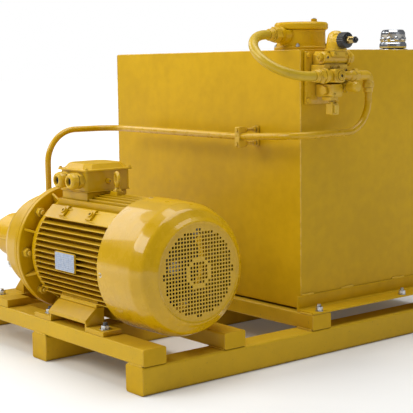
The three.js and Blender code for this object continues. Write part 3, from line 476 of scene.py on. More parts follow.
MAT = {
    "paint": (paint("yellow_paint", coat=0.25), "yellow_paint"),
    "skid": (paint("yellow_paint_steel", rough=0.36, coat=0.03, panel=0.03, chips=0.5, grime_and_shade=0.75, dust=0.3, grime_and_shade_reach=0.03, spec=0.12), "yellow_paint"),
    "tank": (paint("yellow_paint_panel", rough=0.36, coat=0.04, panel=0.05, streak=0.2, chips=0.2, grime_and_shade=0.6, coat_rough=0.18, spec=0.12), "yellow_paint"),
    "cowl": (paint("yellow_paint_gloss", rough=0.25, coat=0.5, spec=0.2, peel=0.03, panel=0.012, chips=0.2, dust=0.08, coat_rough=0.04), "yellow_paint"),
    "cast": (paint("yellow_paint_cast", rough=0.32, coat=0.08, spec=0.18, cast=0.12, grime_and_shade=0.42, chips=0.35, grime_and_shade_reach=0.022, dust=0.25), "yellow_paint"),
    "fitting": (paint("yellow_paint_fitting", base=(0.64, 0.385, 0.012), rough=0.28, coat=0.22, grime_and_shade=0.95, chips=0.6, grime_and_shade_reach=0.012, dust=0.3), "yellow_paint"),
    "weld": (paint("yellow_paint_weld", base=(0.70, 0.43, 0.02), rough=0.26, coat=0.4, grime_and_shade=0.5, chips=0.4, grime_and_shade_reach=0.008), "yellow_paint"),
    "hose": (paint("yellow_paint_hose", base=(0.56, 0.365, 0.014), rough=0.32, coat=0.25, peel=0.22, chips=0.15, grime_and_shade=0.5, dust=0.15, spec=0.25), "yellow_paint"),
    "steel": (metal("bright_steel", (0.58, 0.58, 0.57), 0.34), "steel"),
    "zinc": (metal("zinc_plate", (0.70, 0.71, 0.72), 0.33, spots=0.35), "zinc"),
    "chrome": (metal("chrome_plate", (0.60, 0.62, 0.66), 0.15, wear=0.12, spots=0.06, bump=0.02), "chrome"),
    "castiron": (plain("cast_iron_grey", (0.085, 0.095, 0.105), 0.55, 0.35, 170), "cast_iron"),
    "pump": (paint("pump_paint", base=(0.155, 0.20, 0.24), rough=0.38, coat=0.15, cast=0.12, grime_and_shade=0.8, dust=0.05, chips=0.3), "pump_paint"),
    "black": (plain("black_plastic_moulded", (0.014, 0.015, 0.018), 0.38, 0.12, 420, coat=0.1), "black_plastic"),
    "rubber": (plain("rubber_black", (0.017, 0.017, 0.018), 0.72, 0.3, 300), "rubber"),
    "copper": (metal("copper_winding", (0.62, 0.30, 0.14), 0.38), "copper"),
    "brass": (metal("brass_turned", (0.62, 0.45, 0.17), 0.26, spots=0.3), "brass"),
    "paper": (plain("filter_paper_pleat", (0.66, 0.60, 0.44), 0.9, 0.3, 500), "filter_paper"),
}
def plate_material():
    g = Graph("nameplate_aluminium")
    n = g.noise(70, 5, 0.65)
    col = g.mix(g.ramp(n, 0.38, 0.62), (0.30, 0.36, 0.48), (0.46, 0.50, 0.58))
    w = g.new("ShaderNodeTexWave", bands_direction="Z"); w.inputs["Scale"].default_value = 42
    g.link(g.tc, w.inputs["Vector"])
    col = g.mix(g.math("MULTIPLY", g.ramp(w.outputs["Fac"], 0.62, 0.9), 0.45), col, (0.24, 0.28, 0.36))
    return g.out(col, g.ramp(n, 0.3, 0.7, 0.28, 0.45), g.bump(w.outputs["Fac"], 0.12, 0.0004), 0.65)
MAT["plate"] = (plate_material(), "nameplate")
def glass_material():
    g = Graph("gauge_window")
    g.b.inputs["Transmission Weight"].default_value = 0.85
    g.b.inputs["IOR"].default_value = 1.47
    n = g.noise(60, 3)
    return g.out(g.mix(n, (0.80, 0.86, 0.80), (0.90, 0.93, 0.88)), g.ramp(n, 0.3, 0.7, 0.04, 0.1), g.bump(g.noise(40, 2), 0.03, 0.0005), 0.0, 0.3)
MAT["glass"] = (glass_material(), "gauge_glass")

# ------------------------------------------------------------------ pieces
ALL = {}
class Piece:
    def __init__(s, name, body="unit", nodes=(), mat="paint", auto=32, weighted=True):
        s.name, s.body, s.nodes, s.mat, s.auto, s.weighted, s.parts = name, body, nodes, mat, auto, weighted, {}
    def add(s, vf, mat=None, bevel=0.0, seg=3, ang=38, hold=None, fix=True):
        t = bmesh.new()
        vs = [t.verts.new(p) for p in vf[0]]
        for f in vf[1]:
            if len(set(f)) > 2:
                try: t.faces.new([vs[i] for i in f])
                except ValueError: pass
        bmesh.ops.remove_doubles(t, verts=t.verts, dist=0.004)
        if fix: bmesh.ops.recalc_face_normals(t, faces=t.faces)
        if bevel:
            es = [e for e in t.edges if len(e.link_faces) == 2 and e.calc_face_angle(0) > radians(ang) and (hold is None or hold(e))]
            bmesh.ops.bevel(t, geom=es, offset=bevel, segments=seg, profile=0.5, affect="EDGES", clamp_overlap=True)
        me = bpy.data.meshes.new("tmp")
        t.to_mesh(me); t.free()
        b = s.parts.setdefault(mat or s.mat, bmesh.new())
        b.from_mesh(me)
        bpy.data.meshes.remove(me)
        return s
    def done(s):
        first, made = None, []
        for key in sorted(s.parts, key=lambda k: k != s.mat):
            b = s.parts[key]
            for v in b.verts: v.co = M(*v.co)
            name = s.name if first is None else s.name + "_" + key
            me = bpy.data.meshes.new(name)
            b.to_mesh(me); b.free()
            o = bpy.data.objects.new(name, me)
            bpy.context.scene.collection.objects.link(o)
            me.materials.append(MAT[key][0])
            me.shade_smooth()
            me.set_sharp_from_angle(angle=radians(s.auto))
            if s.weighted:
                w = o.modifiers.new("faces", "WEIGHTED_NORMAL"); w.keep_sharp = True; w.weight = 60
            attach(o, s.body)
            if first is None:
                first = o
                if s.nodes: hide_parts(*s.nodes)
            made.append(o)
        ALL[s.name] = made
        return first

def dress(node, key, smooth=True):
    """A CAD node that keeps its shape gets its finish."""
    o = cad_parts[node]
    o.data.materials.clear()
    o.data.materials.append(MAT[key][0])
    return o

# ------------------------------------------------------------------ return hose
TZ1 = 1157
PORT_Z = 58
H0, H1 = (-223, 777.7, TZ1 + PORT_Z), (0, 799.7, 1058)
def hose_points():
    a, b, out = Vector(H0), Vector(H1), Vector((0, -1, 0))
    p, q = a + out * 6, b.copy()
    q.y = p.y
    c, e = (p + q) / 2, p - q
    R = e.length / 2
    e.normalize()
    pts = [a]
    for i in range(19):
        t = pi * i / 18
        s = c + e * (R * cos(t)) + out * (R * sin(t))
        s.z -= 6 * sin(t) ** 2
        pts.append(s)
    return pts + [q.lerp(b, 0.5), b]
def make_hose():
    pts = dense(hose_points(), 6)
    rad = [18.0 * (1 + 0.006 * sin(i * 1.9)) for i in range(len(pts))]
    h = Piece("return_hose_cover", nodes=["return_hose"], mat="hose", auto=60)
    h.add(sweep(pts, rad, 28))
    o = h.done()
make_hose()

# ================================================================== skid
BEAM_X = [(-100, 0, "front"), (-719, -619, "middle"), (-1380, -1280, "rear")]
RAILS = [(5, "motor_rail_outer"), (361, "motor_rail_inner"), (796, "tank_rail_inner"), (1745, "tank_rail_rear")]
DECK = 160.3
def skid():
    for x0, x1, nm in BEAM_X:
        p = Piece("skid_beam_" + nm + "_steel", nodes=["skid_beam_" + nm], mat="skid")
        p.add(prism(rrect(x0, x1, 0, 100, 10, 7), "y", 3.2, 1846.8))
        # end caps, set in and welded all round
        p.add(prism(rrect(x0 + 1.2, x1 - 1.2, 1.2, 98.8, 9, 7), "y", 0.6, 4.5, chamfer=0.6))
        p.add(prism(rrect(x0 + 1.2, x1 - 1.2, 1.2, 98.8, 9, 7), "y", 1845.5, 1849.4, chamfer=0.6))
        for y in (3.1, 1846.9):
            c = [(x, y, z) for x, z in rrect(x0 + 1.6, x1 - 1.6, 1.6, 98.4, 9, 5)]
            p.add(sweep(c + [c[0]], [1.5 + 0.35 * sin(i * 2.1) for i in range(len(c) + 1)], 6, cap=False), "weld")
        p.done()
    for k, (y0, nm) in enumerate(RAILS):
        p = Piece(nm + "_steel", nodes=[nm], mat="skid")
        p.add(prism(rrect(y0, y0 + 98, 100.3, 160.3, 7.5, 7), "x", -1376.8, -3.2))
        for xa, xb in ((-4.5, -0.6), (-1379.4, -1375.5)):
            p.add(prism(rrect(y0 + 1.1, y0 + 96.9, 101.4, 159.2, 6.8, 7), "x", xa, xb, chamfer=0.6))
        for x in (-3.1, -1376.9):
            c = [(x, y, z) for y, z in rrect(y0 + 1.5, y0 + 96.5, 101.8, 158.8, 6.5, 5)]
            p.add(sweep(c + [c[0]], [1.5 + 0.35 * sin(i * 2.1) for i in range(len(c) + 1)], 6, cap=False), "weld")
        p.done()
    w = Piece("skid_welds", mat="weld")
    s = 0
    for y0, _ in RAILS:
        for x0, x1, _ in BEAM_X:
            for y in (y0 + 0.5, y0 + 97.5):
                s += 1
                if 4 < y < 1846:
                    w.add(weld((x0 + 9, y, 101.2), (x1 - 9, y, 101.2), 4.6, 4.6, s))
            for x in (x0 + 1.5, x1 - 1.5):
                s += 1
                if -1378 < x < -2:
                    w.add(weld((x, y0 + 8, 99.0), (x, y0 + 90, 99.0), 3.4, 4.2, s))
    w.done()

# ================================================================== tank
TX0, TX1, TY0, TY1, TZ0 = -1293, -93, 822, 1822, 168.6
def tank():
    p = Piece("tank_shell_panels", nodes=["tank_shell"], mat="tank")
    # bent wall sheet, top plate let in, bottom plate
    wall = rrect(TX0, TX1, TY0, TY1, 5, 5)
    hatch = [(x, z) for x, z in circle(160, 64, -900, 560)]
    p.add(prism(wall, "z", TZ0 + 0.2, TZ1 - 1.2, chamfer=0.5))
    p.add(prism(rrect(TX0 + 2.0, TX1 - 2.0, TY0 + 2.0, TY1 - 2.0, 4, 4), "z", TZ1 - 9, TZ1, chamfer=0.8))
    p.add(cyl("y", 20, TY1 - 1, TY1 + 14, -1100, 208, 36))
    p.add(turn(hexprism(30, 0, 12), Matrix.Translation(Vector((-1100, TY1 + 13.6, 208))) @ toward("y")))
    p.done()
    w = Piece("tank_welds", mat="weld")
    z = TZ1 - 1.6
    w.add(weld((TX0 + 6, TY0 + 1.6, z), (TX1 - 6, TY0 + 1.6, z), 2.0, 5.5, 3, per=2))
    w.add(weld((TX1 - 1.6, TY0 + 6, z), (TX1 - 1.6, TY1 - 6, z), 2.0, 5.5, 4, per=2))
    w.add(weld((TX0 + 6, TY1 - 1.6, z), (TX1 - 6, TY1 - 1.6, z), 2.0, 5.5, 5, per=2))
    w.add(weld((TX0 + 1.6, TY0 + 6, z), (TX0 + 1.6, TY1 - 6, z), 2.0, 5.5, 6, per=2))
    for x, y, sd in ((TX1 - 1.2, TY0 + 1.2, 7), (TX0 + 1.2, TY1 - 1.2, 8), (TX1 - 1.2, TY1 - 1.2, 9), (TX0 + 1.2, TY0 + 1.2, 10)):
        w.add(weld((x, y, TZ0 + 4), (x, y, TZ1 - 4), 2.1, 5.0, sd, per=3))
    for sgn, x in ((1, TX1 + 3.5), (-1, TX0 - 3.5)):
        for k, (a, b) in enumerate([(824, 888), (1040, 1109), (1341, 1413), (1600, 1668), (1752, 1818)]):
            w.add(weld((x, a, 220.2), (x, b, 220.2), 5.4, 5.2, 20 + k + (10 if sgn < 0 else 0)))
    for k in range(12):   # drain socket
        a0, a1 = 2 * pi * k / 12, 2 * pi * (k + 1) / 12
        w.add(weld((-1100 + 21 * cos(a0), TY1 + 1.2, 208 + 21 * sin(a0)), (-1100 + 21 * cos(a1), TY1 + 1.2, 208 + 21 * sin(a1)), 3.0, 4.5, 60 + k))
    w.done()
    for sgn, x, wd, nm in ((1, TX1 + 0.3, 92, "front"), (-1, TX0 - 0.3, 86, "rear")):
        q = Piece("tank_foot_" + nm + "_angle", nodes=["tank_foot_" + nm], mat="skid")
        z0 = DECK + 0.3
        L = [(x, z0, 0), (x + sgn * wd, z0, 2), (x + sgn * wd, z0 + 8, 2.5), (x + sgn * 8, z0 + 8, 6), (x + sgn * 8, 219, 2), (x, 219, 1)]
        q.add(prism(rnd(L, True, n=4), "y", 800, 1843, chamfer=0.25))
        bx = -19 if sgn > 0 else -1367 + 6
        for y in (847, 1320, 1796):
            q.add(bolt((bx - (0 if sgn > 0 else 0), y, z0 + 8), "z", 1, 24, 15, True, 9, spin=0.5 + y), "zinc")
        q.add(weld((x + sgn * 20, 799.6, z0 + 1), (x + sgn * (wd - 8), 799.6, z0 + 1), 3.6, 4.6, 70), "weld")
        q.done()
    # clean-out cover with its gasket and bolts
    c = Piece("cleanout_cover_plate", nodes=["cleanout_cover"], mat="skid")
    c.add(lathe([(TY1 + 2.6, 0), (TY1 + 2.6, 189), (TY1 + 11.5, 189, 1.6), (TY1 + 11.5, 0)], "y", (-900, 0, 560), 96))
    c.add(cyl("y", 17, TY1 + 11, TY1 + 24, -900, 560, 36, 1.5))
    c.add(lathe([(TY1 + 0.6, 130), (TY1 + 0.6, 187.4), (TY1 + 2.8, 187.4), (TY1 + 2.8, 130)], "y", (-900, 0, 560), 96), "rubber")
    for i in range(6):
        t = pi / 12 + 2 * pi * i / 6
        c.add(bolt((-900 + 176 * cos(t), TY1 + 11.5, 560 + 176 * sin(t)), "y", 1, 19, 10, True, 0, spin=i), "zinc")
    c.done()
    g = Piece("level_gauge_housing", nodes=["level_gauge_body"], mat="black")
    X, y0 = -330, TY1 + 0.3
    g.add(prism(rrect(X - 20, X + 20, 620, 960, 7), "y", y0, y0 + 25.4, holes=[rrect(X - 12.5, X + 12.5, 658, 922, 4)]), bevel=0.8, seg=2, ang=60)
    g.add(prism(rrect(X - 14, X + 14, 655, 925, 4), "y", y0, y0 + 7))
    g.add(prism(rrect(X - 12.2, X + 12.2, 658.4, 921.6, 3.8), "y", y0 + 17, y0 + 21, chamfer=0.6), "glass")
    g.add(cyl("z", 4.2, 664, 800, X, y0 + 11, 20, 0.5), "brass")
    for zz in (638, 942):
        g.add(capscrew((X, y0 + 25, zz), "y", 1, 15, 2.2), "zinc")
    for k in range(9):
        g.add(box(X + 5, X + 11.5, y0 + 7, y0 + 8.4, 680 + k * 27, 681.5 + k * 27), "zinc")
    g.done()
    dress("tank_baffle", "steel")

# ================================================================== return filter
FX, FY = -223, 952
def flt(vf): return shift(vf, FX, FY, TZ1)
def return_filter():
    p = Piece("return_filter_head_casting", nodes=["return_filter_head"], mat="cast")
    p.add(flt(lathe([(0.4, 72), (0.4, 105.5, 1.5), (11.5, 105.5, 2.5), (12.5, 97, 4), (30, 94.6, 20), (70, 93.6, 3), (72, 95, 1), (76.8, 95, 1), (76.8, 80)], "z", n=88)))
    # port boss blends out of the side, flat under the lid
    loops = []
    for y, r, sq in ((-70, 47, 1.0), (-88, 44, 1.0), (-97, 39, 1), (-104, 34.5, 1), (-107, 31.5, 1), (-120, 30.6, 1), (-122, 29.6, 1), (-122, 20, 1), (-60, 20, 1)):
        zc = PORT_Z
        loops.append([(r * cos(2 * pi * i / 48), y, (min(76.6, zc + r * sin(2 * pi * i / 48)) if y > -105 and r > 25 else zc + r * sin(2 * pi * i / 48))) for i in range(48)])
    v, f = layers(loops)
    p.add(flt((v, f)))
    for k in range(4):
        t = radians(-52 + 90 * k)
        p.add(flt(bolt((101 * cos(t) * 0.985, 101 * sin(t) * 0.985, 11.6), "z", 1, 13, 8, False, 5, spin=k)), "zinc")
    p.done()
    q = Piece("return_filter_lid_casting", body="filter_lid", nodes=["return_filter_lid"], mat="cast")
    q.add(flt(lathe([(77.4, 0), (77.4, 98), (79, 101, 1), (83, 104, 2), (99, 104, 3.5), (106.2, 97.6, 3), (107.2, 88, 2), (107.2, 60, 3), (108.4, 56, 3), (108.4, 0)], "z", n=88)))
    q.add(flt(lathe([(69, 0), (69, 74), (78, 74), (78, 0)], "z", n=48)))
    q.add(flt(lathe([(108, 0), (108, 15), (110.5, 13.5, 1.5), (110.5, 0)], "z", (28, 42, 0), n=36)))
    q.add(turn(flt(hexprism(21, 0, 10)), Matrix.Translation(Vector((28, 42, 110.5)))))
    q.add(flt(cyl("z", 6.5, 120, 123.6, 28, 42, 24)), "zinc")
    q.done()
    f = Piece("filter_hose_tail", nodes=["filter_hose_fitting"], mat="fitting")
    m = Matrix.Translation(Vector((FX, FY - 122.4, TZ1 + PORT_Z))) @ toward("y", -1)
    f.add(turn(many(hexprism(55, 0, 27, 0.25), lathe([(26.5, 0), (26.5, 22), (28, 24.8, 0.8), (34.5, 24.8, 1.2), (35.4, 21.8), (36.6, 21.8, 0.4), (36.6, 22.8, 0.8), (51.2, 22.2, 2), (51.2, 18.4), (51.2, 0)], "z", n=48, fn=3)), m))
    for k in range(3):
        f.add(turn(torus(22.0, 0.9, (0, 0, 40 + k * 4), "z", 48, 8), m))
    f.done()
    dress("return_filter_bowl", "steel"); dress("return_filter_element", "paper")

# ================================================================== breather
def breather():
    def bt(vf): return shift(vf, -293, 1564, TZ1)
    p = Piece("breather_base", nodes=["breather_flange"], mat="chrome")
    p.add(bt(lathe([(0.4, 29), (0.4, 63.5, 0.8), (3.4, 63.5, 1.2), (6.0, 58.5, 2), (6.8, 46.5, 2), (21.5, 44.5, 1), (21.5, 29)], "z", n=72)))
    for k in range(6):
        t = 2 * pi * k / 6 + 0.3
        p.add(bt(capscrew((54 * cos(t), 54 * sin(t), 5.6), "z", 1, 7, 2.6)), "steel")
    p.done()
    q = Piece("breather_cap_chrome", body="filler_cap", nodes=["breather_cap"], mat="chrome")
    def big(vf): return bt(([(x * 1.14, y * 1.14, 9.6 + (z - 9.6) * 1.142) for x, y, z in vf[0]], vf[1]))
    q.add(big(lathe([(78.0, 0), (78.6, 26, 4), (77.6, 38, 6), (68, 44.6, 6), (39.5, 45.2, 2), (36.5, 47.4, 1.5), (33.5, 45.8, 2), (29.5, 46.4, 3), (26, 49.8, 3), (16, 50.6, 3), (9.6, 49.6, 1.2), (9.6, 42, 0.5), (66, 41.5, 3), (74.5, 34, 3), (74.5, 0)], "z", n=96)))
    q.add(big(lathe([(46, 44.0), (46, 45.5), (60, 45.5), (60, 44.0)], "z", n=96)), "steel")
    for k in range(10):     # round bosses pressed out of the skirt
        t = 2 * pi * k / 10 + 0.052
        mm = Matrix.Translation(Vector((51.4 * cos(t), 51.4 * sin(t), 48))) @ Matrix.Rotation(t, 4, "Z") @ toward("x")
        q.add(bt(turn(lathe([(-2.4, 0), (-2.4, 10.6), (0.4, 10.2, 0.8), (2.6, 7.4, 2.4), (3.6, 3.2, 2), (3.8, 0)], "z", n=32), mm)))
    q.done()
skid(); tank(); return_filter(); breather()

# ================================================================== motor
AY, AZ = 232, 398
EYE = -460
def mt(vf): return shift(vf, 0, AY, AZ)
CORE, FINR = 186, 223
def fin_section(shrink=0.0):
    pts = []
    def side(turned, kmax, R, a=0, b=None):
        run = []
        for k in range(-kmax, kmax + 1):
            c = k * 20.5
            root = lambda d: sqrt(CORE ** 2 - (c + d) ** 2)
            tip = sqrt(R ** 2 - c * c) + (3 if abs(k) > 5 else 0) - shrink
            run += [(root(-3.1), c - 3.1, 3.2), (tip, c - 1.75, 1.5), (tip, c + 1.75, 1.5), (root(3.1), c + 3.1, 3.2)]
        for u, v, r in run[a:b]:
            x, y = turned(u, v)
            pts.append((x, y, r))
    def shoulder(s):
        k = 1 - shrink / 230
        q = [(168.5, 149.5, 3), (132.5, 187, 6), (121.8, 187, 3), (121, 141.3, 3)]
        if s < 0: q = [(-a, b, r) for a, b, r in reversed(q)]
        pts.extend([(a * k, b * k, r) for a, b, r in q])
    def corner(q):
        for a in (-1.8, -0.7, 0.7, 1.8):
            t = radians((53.7, 126.3, 233.7, 306.3)[q] + a)
            R = 203 if abs(a) < 1 else 188
            pts.append((R * cos(t), R * sin(t), 2.0))
    side(lambda u, v: (u, v), 7, FINR, 0, -1); shoulder(1)
    side(lambda u, v: (-v, u), 5, 232); shoulder(-1)
    side(lambda u, v: (-u, -v), 7, FINR, 1); corner(2)
    side(lambda u, v: (v, -u), 5, 232); corner(3)
    return rnd(pts, True, n=3)

def motor_frame():
    p = Piece("motor_frame_casting", nodes=["motor_frame"], mat="cast", auto=40)
    loops = []
    for x, s in ((-712, 9), (-710.5, 4.5), (-706, 1.2), (-700, 0), (-480, 0), (-262, 0)):
        loops.append([(x, y, z) for y, z in fin_section(s)])
    v, f = layers(loops)
    n = len(loops[0])
    bore = circle(165, n, turn=0)
    # end faces as rings to the bore, triangulated between the outline and the bore
    for li, x in ((0, -712), (len(loops) - 1, -262)):
        v2, tri = flat([(q[1], q[2]) for q in loops[li]], [circle(165, 96)])
        o = len(v); v += [(x, a, b) for a, b in v2]; f += [tuple(i + o for i in t) for t in tri]
    o = len(v)
    bl = [[(x, *q) for q in circle(165, 96)] for x in (-712, -262)]
    bv, bf = layers(bl); v += bv; f += [tuple(i + o for i in t) for t in bf]
    p.add(mt((v, f)))
    for x in (-588, -408):
        for s in (-1, 1):
            o = [(124, 150, 0), (165, 152.5, 2), (171.5, 158, 3), (140, 191.5, 3), (134, 187, 2), (124, 187, 0)]
            o = [(s * a, b, r) for a, b, r in o]
            p.add(mt(prism(rnd(o, True), "x", x - 17, x + 17, chamfer=1.0)), bevel=1.4, seg=2, ang=50)
            # pad with a tapped hole, and the cast web that runs out of it
            d = Vector((0, s * 0.717, 0.697)).normalized()
            mm = Matrix.Translation(Vector((x, AY + s * 155.6, AZ + 174.4))) @ Vector((0, 0, 1)).rotation_difference(d).to_matrix().to_4x4()
            p.add(turn(lathe([(-8, 0), (-8, 13), (5.5, 12, 1.5), (5.5, 5.4, 0.6), (-2, 5.2), (-2, 0)], "z", n=36), mm))
            # the black disc in the tapped hole is painted shade for the hole's depth
            p.add(turn(cyl("z", 5.1, -2, 1.5, 0, 0, 20, 0.3), mm), "black")
            for a, h in ((-15, 0), (15, 0)):
                w = [(x + 16, AY + s * (156 + a * 0.9), AZ + 169 - a * 0.9), (x + 52, AY + s * (152 + a * 0.9), AZ + 166 - a * 0.9), (x + 16, AY + s * (146 + a * 0.9), AZ + 160 - a * 0.9)]
                w2 = [(q[0], q[1] + s * 3.8, q[2] - 3.8) for q in w]
                p.add((w + w2, [(0, 1, 2), (3, 4, 5), (0, 1, 4, 3), (1, 2, 5, 4), (2, 0, 3, 5)]), bevel=0.8, seg=2)
    p.add(mt(box(-700, -527, -90, 90, 175, 239.9)), bevel=4, seg=3)
    p.add(mt(prism(rnd([(-24, 196, 0), (24, 196, 0), (17, 243.8, 4), (-17, 243.8, 4)], True), "x", EYE - 22, EYE + 22, chamfer=1.0)), bevel=1.5, seg=2, ang=50)
    for s in (-1, 1):
        p.add(mt(prism([(s * a, b) for a, b in ((174, -158.5), (143.5, -158.5), (143.5, -104), (150, -107), (174, -150))], "x", -600, -357)), bevel=2, seg=2)
    p.done()
    # blank rating plate on its pad
    q = Piece("motor_rating_plate", mat="plate")
    y = 5.2
    pl = rrect(-542, -415, 366, 431, 4)
    q.add(prism(pl, "y", y - 0.8, y, chamfer=0.2))
    for zz in (378, 387, 396, 405, 414):
        q.add(box(-534, -423, y - 1.15, y - 0.7, zz, zz + 0.8))
    for xx in (-520, -482, -450):
        q.add(box(xx, xx + 0.8, y - 1.15, y - 0.7, 372, 414))
    q.add(prism(rrect(-544, -413, 364, 433, 5), "y", y, 12), "cast")
    for xx in (-537.5, -419.5):
        for zz in (370.5, 426.5):
            q.add(lathe([(y - 2.2, 0), (y - 2.0, 1.4), (y - 0.7, 2.4), (y + 0.5, 2.4), (y + 0.5, 0)], "y", (xx, 0, zz), n=20), "zinc")
    q.done()
    for s, nm in ((-1, "outer"), (1, "inner")):
        k = Piece("motor_foot_" + nm + "_casting", nodes=["motor_foot_" + nm], mat="cast")
        z0 = DECK + 0.3 - AZ
        def m(pts): return [(s * -a, b, r) for a, b, r in pts]
        pad = rnd(m([(-222, z0, 1), (-143, z0, 0), (-143, z0 + 17, 0), (-222, z0 + 17, 3)]), True)
        k.add(mt(prism(pad, "x", -712, -594, chamfer=0.8)), bevel=1.4, seg=2, ang=50)
        k.add(mt(prism(pad, "x", -363, -245, chamfer=0.8)), bevel=1.4, seg=2, ang=50)
        br = rnd(m([(-224, z0 + 29, 1), (-219, z0 + 29, 1), (-172, z0 + 68, 4), (-143, z0 + 68, 0), (-143, z0 + 79, 0), (-179, z0 + 79, 6), (-225, z0 + 40, 2)]), True)
        k.add(mt(prism(br, "x", -604, -353, chamfer=0.6)), bevel=1.2, seg=2, ang=50)
        wb = rnd(m([(-221, z0 + 15, 1), (-143, z0 + 15, 0), (-143, z0 + 77, 0), (-180, z0 + 77, 4), (-221, z0 + 41, 2)]), True)
        for xa, xb in ((-603, -593), (-364, -354)):
            k.add(mt(prism(wb, "x", xa, xb)), bevel=1.0, seg=2, ang=50)
        k.add(mt(prism([(p_[0], p_[1]) for p_ in m([(-158, z0, 0), (-143, z0, 0), (-143, z0 + 78, 0), (-158, z0 + 78, 0)])], "x", -600, -357)), bevel=1.5, seg=2)
        k.done()
        bl = Piece("motor_foot_" + nm + "_bolts", mat="zinc")
        for x in (-655, -284):
            z = AZ + z0 + 17
            bl.add(lathe([(0, 13), (0, 21, 0.5), (2.8, 21, 0.8), (2.8, 13)], "z", (x, AY + s * 186, z), 36))
            bl.add(turn(hexprism(27, 2.8, 15, x), Matrix.Translation(Vector((x, AY + s * 186, z)))))
            bl.add(turn(screw_end(8.2, 14, 25, 2.0), Matrix.Translation(Vector((x, AY + s * 186, z)))), "castiron")
        bl.done()

def shields():
    p = Piece("motor_drive_shield_casting", nodes=["motor_drive_shield"], mat="cast", auto=36)
    p.add(mt(lathe([(-794.6, 36), (-794.6, 243.6, 1.2), (-792, 245, 1), (-777.5, 245, 1.6), (-775, 242.5, 1.2), (-775, 176, 9), (-763, 168, 8), (-749, 194, 6), (-742, 208, 5), (-716, 211, 2), (-712.4, 210, 1), (-712.4, 160), (-728, 160), (-728, 57), (-757, 57), (-757, 36)], "x", n=128)))
    for i in range(8):
        t = pi / 4 * i + pi / 8
        o = rnd([(-777, 160, 0), (-777, 236, 3), (-771, 236, 3), (-738, 209, 3), (-730, 200, 0), (-730, 160, 0)], True)
        v, f = prism([(a, b) for a, b in o], "y", -4.6, 4.6, chamfer=0.6)
        p.add(mt(turn((v, f), Matrix.Rotation(t, 4, "X"))), bevel=1.0, seg=2, ang=50)
    p.done()
    q = Piece("drive_flange_bolts", mat="fitting")
    for i in range(8):
        t = pi / 4 * i
        y, z = 213 * cos(t), 213 * sin(t)
        q.add(bolt((-775, AY + y, AZ + z), "x", 1, 31, 21, True, 9, spin=i * 0.7))
    q.done()
    p = Piece("motor_fan_shield_casting", nodes=["motor_fan_shield"], mat="cast")
    p.add(mt(lathe([(-261.6, 96), (-261.6, 195.5, 1), (-248, 195.5, 2), (-248, 72, 4), (-226, 70, 2), (-226, 37), (-238, 37), (-238, 52), (-280, 52), (-280, 90), (-262, 90)], "x", n=96)))
    for k in range(4):
        t = pi / 4 + pi / 2 * k
        p.add(bolt((-248, AY + 178 * cos(t), AZ + 178 * sin(t)), "x", 1, 19, 11, True, 0), "zinc")
    p.done()

def cowl():
    p = Piece("fan_cowl_pressing", nodes=["fan_cowl"], mat="cowl", auto=40)
    n, X = 128, 19.0
    R0 = 163
    outer = [(X, R0), (X, 168, 0), (X + 0.6, 171, 0), (X + 2.4, 174.2, 2), (X + 2.6, 177.0, 1.5), (X - 0.5, 180.8, 2), (8, 191.5, 14), (-14, 219, 34), (-60, 235.6, 60), (-150, 238.2, 0), (-246.5, 239, 0.6), (-250, 239, 0.8)]
    inner = [(-250, 236.6), (-60, 233.0), (-16, 217, 30), (6, 189.6, 12), (X - 2.2, 179, 2), (X - 2.2, R0)]
    v, f, rows = [], [], []
    pr = rnd(outer, False, 0, 6) + rnd(inner, False, 0, 4)
    loops = [[(a, r * cos(2 * pi * i / n), r * sin(2 * pi * i / n)) for i in range(n)] for a, r in pr]
    v, f = layers(loops)
    # the punched face
    pitch, h = 13.0, 4.25
    holes = []
    for i in range(-12, 12):
        for j in range(-12, 12):
            y, z = (i + 0.5) * pitch, (j + 0.5) * pitch
            d = hypot(y, z)
            if d > 150.5 or 40 < d < 54: continue
            holes.append((y, z))
    hp = [rrect(y - h, y + h, z - h, z + h, 0.9, 1) for y, z in holes]
    key = {(round(y / pitch - 0.5), round(z / pitch - 0.5)) for y, z in holes}
    def keep(y, z):
        i, j = math.floor(y / pitch), math.floor(z / pitch)
        if (i, j) in key and abs(y - (i + 0.5) * pitch) < h - 0.02 and abs(z - (j + 0.5) * pitch) < h - 0.02: return False
        return hypot(y, z) < R0
    v2, tri = flat([(r[1], r[2]) for r in loops[0]], hp, keep)
    m = len(v2)
    o = len(v)
    v += [(X, a, b) for a, b in v2] + [(X - 2.2, a, b) for a, b in v2]
    f += [tuple(i + o for i in t) for t in tri] + [tuple(i + o + m for i in t) for t in tri]
    cnt = {}
    for t in tri:
        for k in range(3):
            e = tuple(sorted((t[k], t[(k + 1) % 3]))); cnt[e] = cnt.get(e, 0) + 1
    for (i, j), c in cnt.items():
        if c == 1 and hypot(*v2[i]) < R0 - 2:
            f.append((i + o, j + o, j + o + m, i + o + m))
    p.add(mt((v, f)))
    p.done()
    # fixing screws
    q = Piece("fan_cowl_screws", mat="fitting")
    for t in (radians(183), radians(-87), radians(3), radians(93)):
        mm = Matrix.Translation(Vector((-232, AY + 237.9 * cos(t), AZ + 237.9 * sin(t)))) @ Vector((0, 0, 1)).rotation_difference(Vector((0, cos(t), sin(t)))).to_matrix().to_4x4()
        q.add(turn(lathe([(0, 0), (0, 9), (0.9, 9, 0.4), (1.1, 6), (1.1, 0)], "z", n=32), mm), "zinc")
        q.add(turn(lathe([(0.9, 0), (0.9, 5.6), (2.8, 5.2, 0.8), (4.0, 3.4, 0.6), (4.1, 0)], "z", n=32), mm))
        # black bar across the head is painted shade for its slot
        q.add(turn(box(-4, 4, -0.6, 0.6, 3.4, 4.15), mm), "black")
    q.done()
    dress("cooling_fan", "black")
    dress("stator", "copper"); dress("rotor_shaft", "steel"); dress("motor_bearing_drive", "steel"); dress("motor_bearing_fan", "steel")

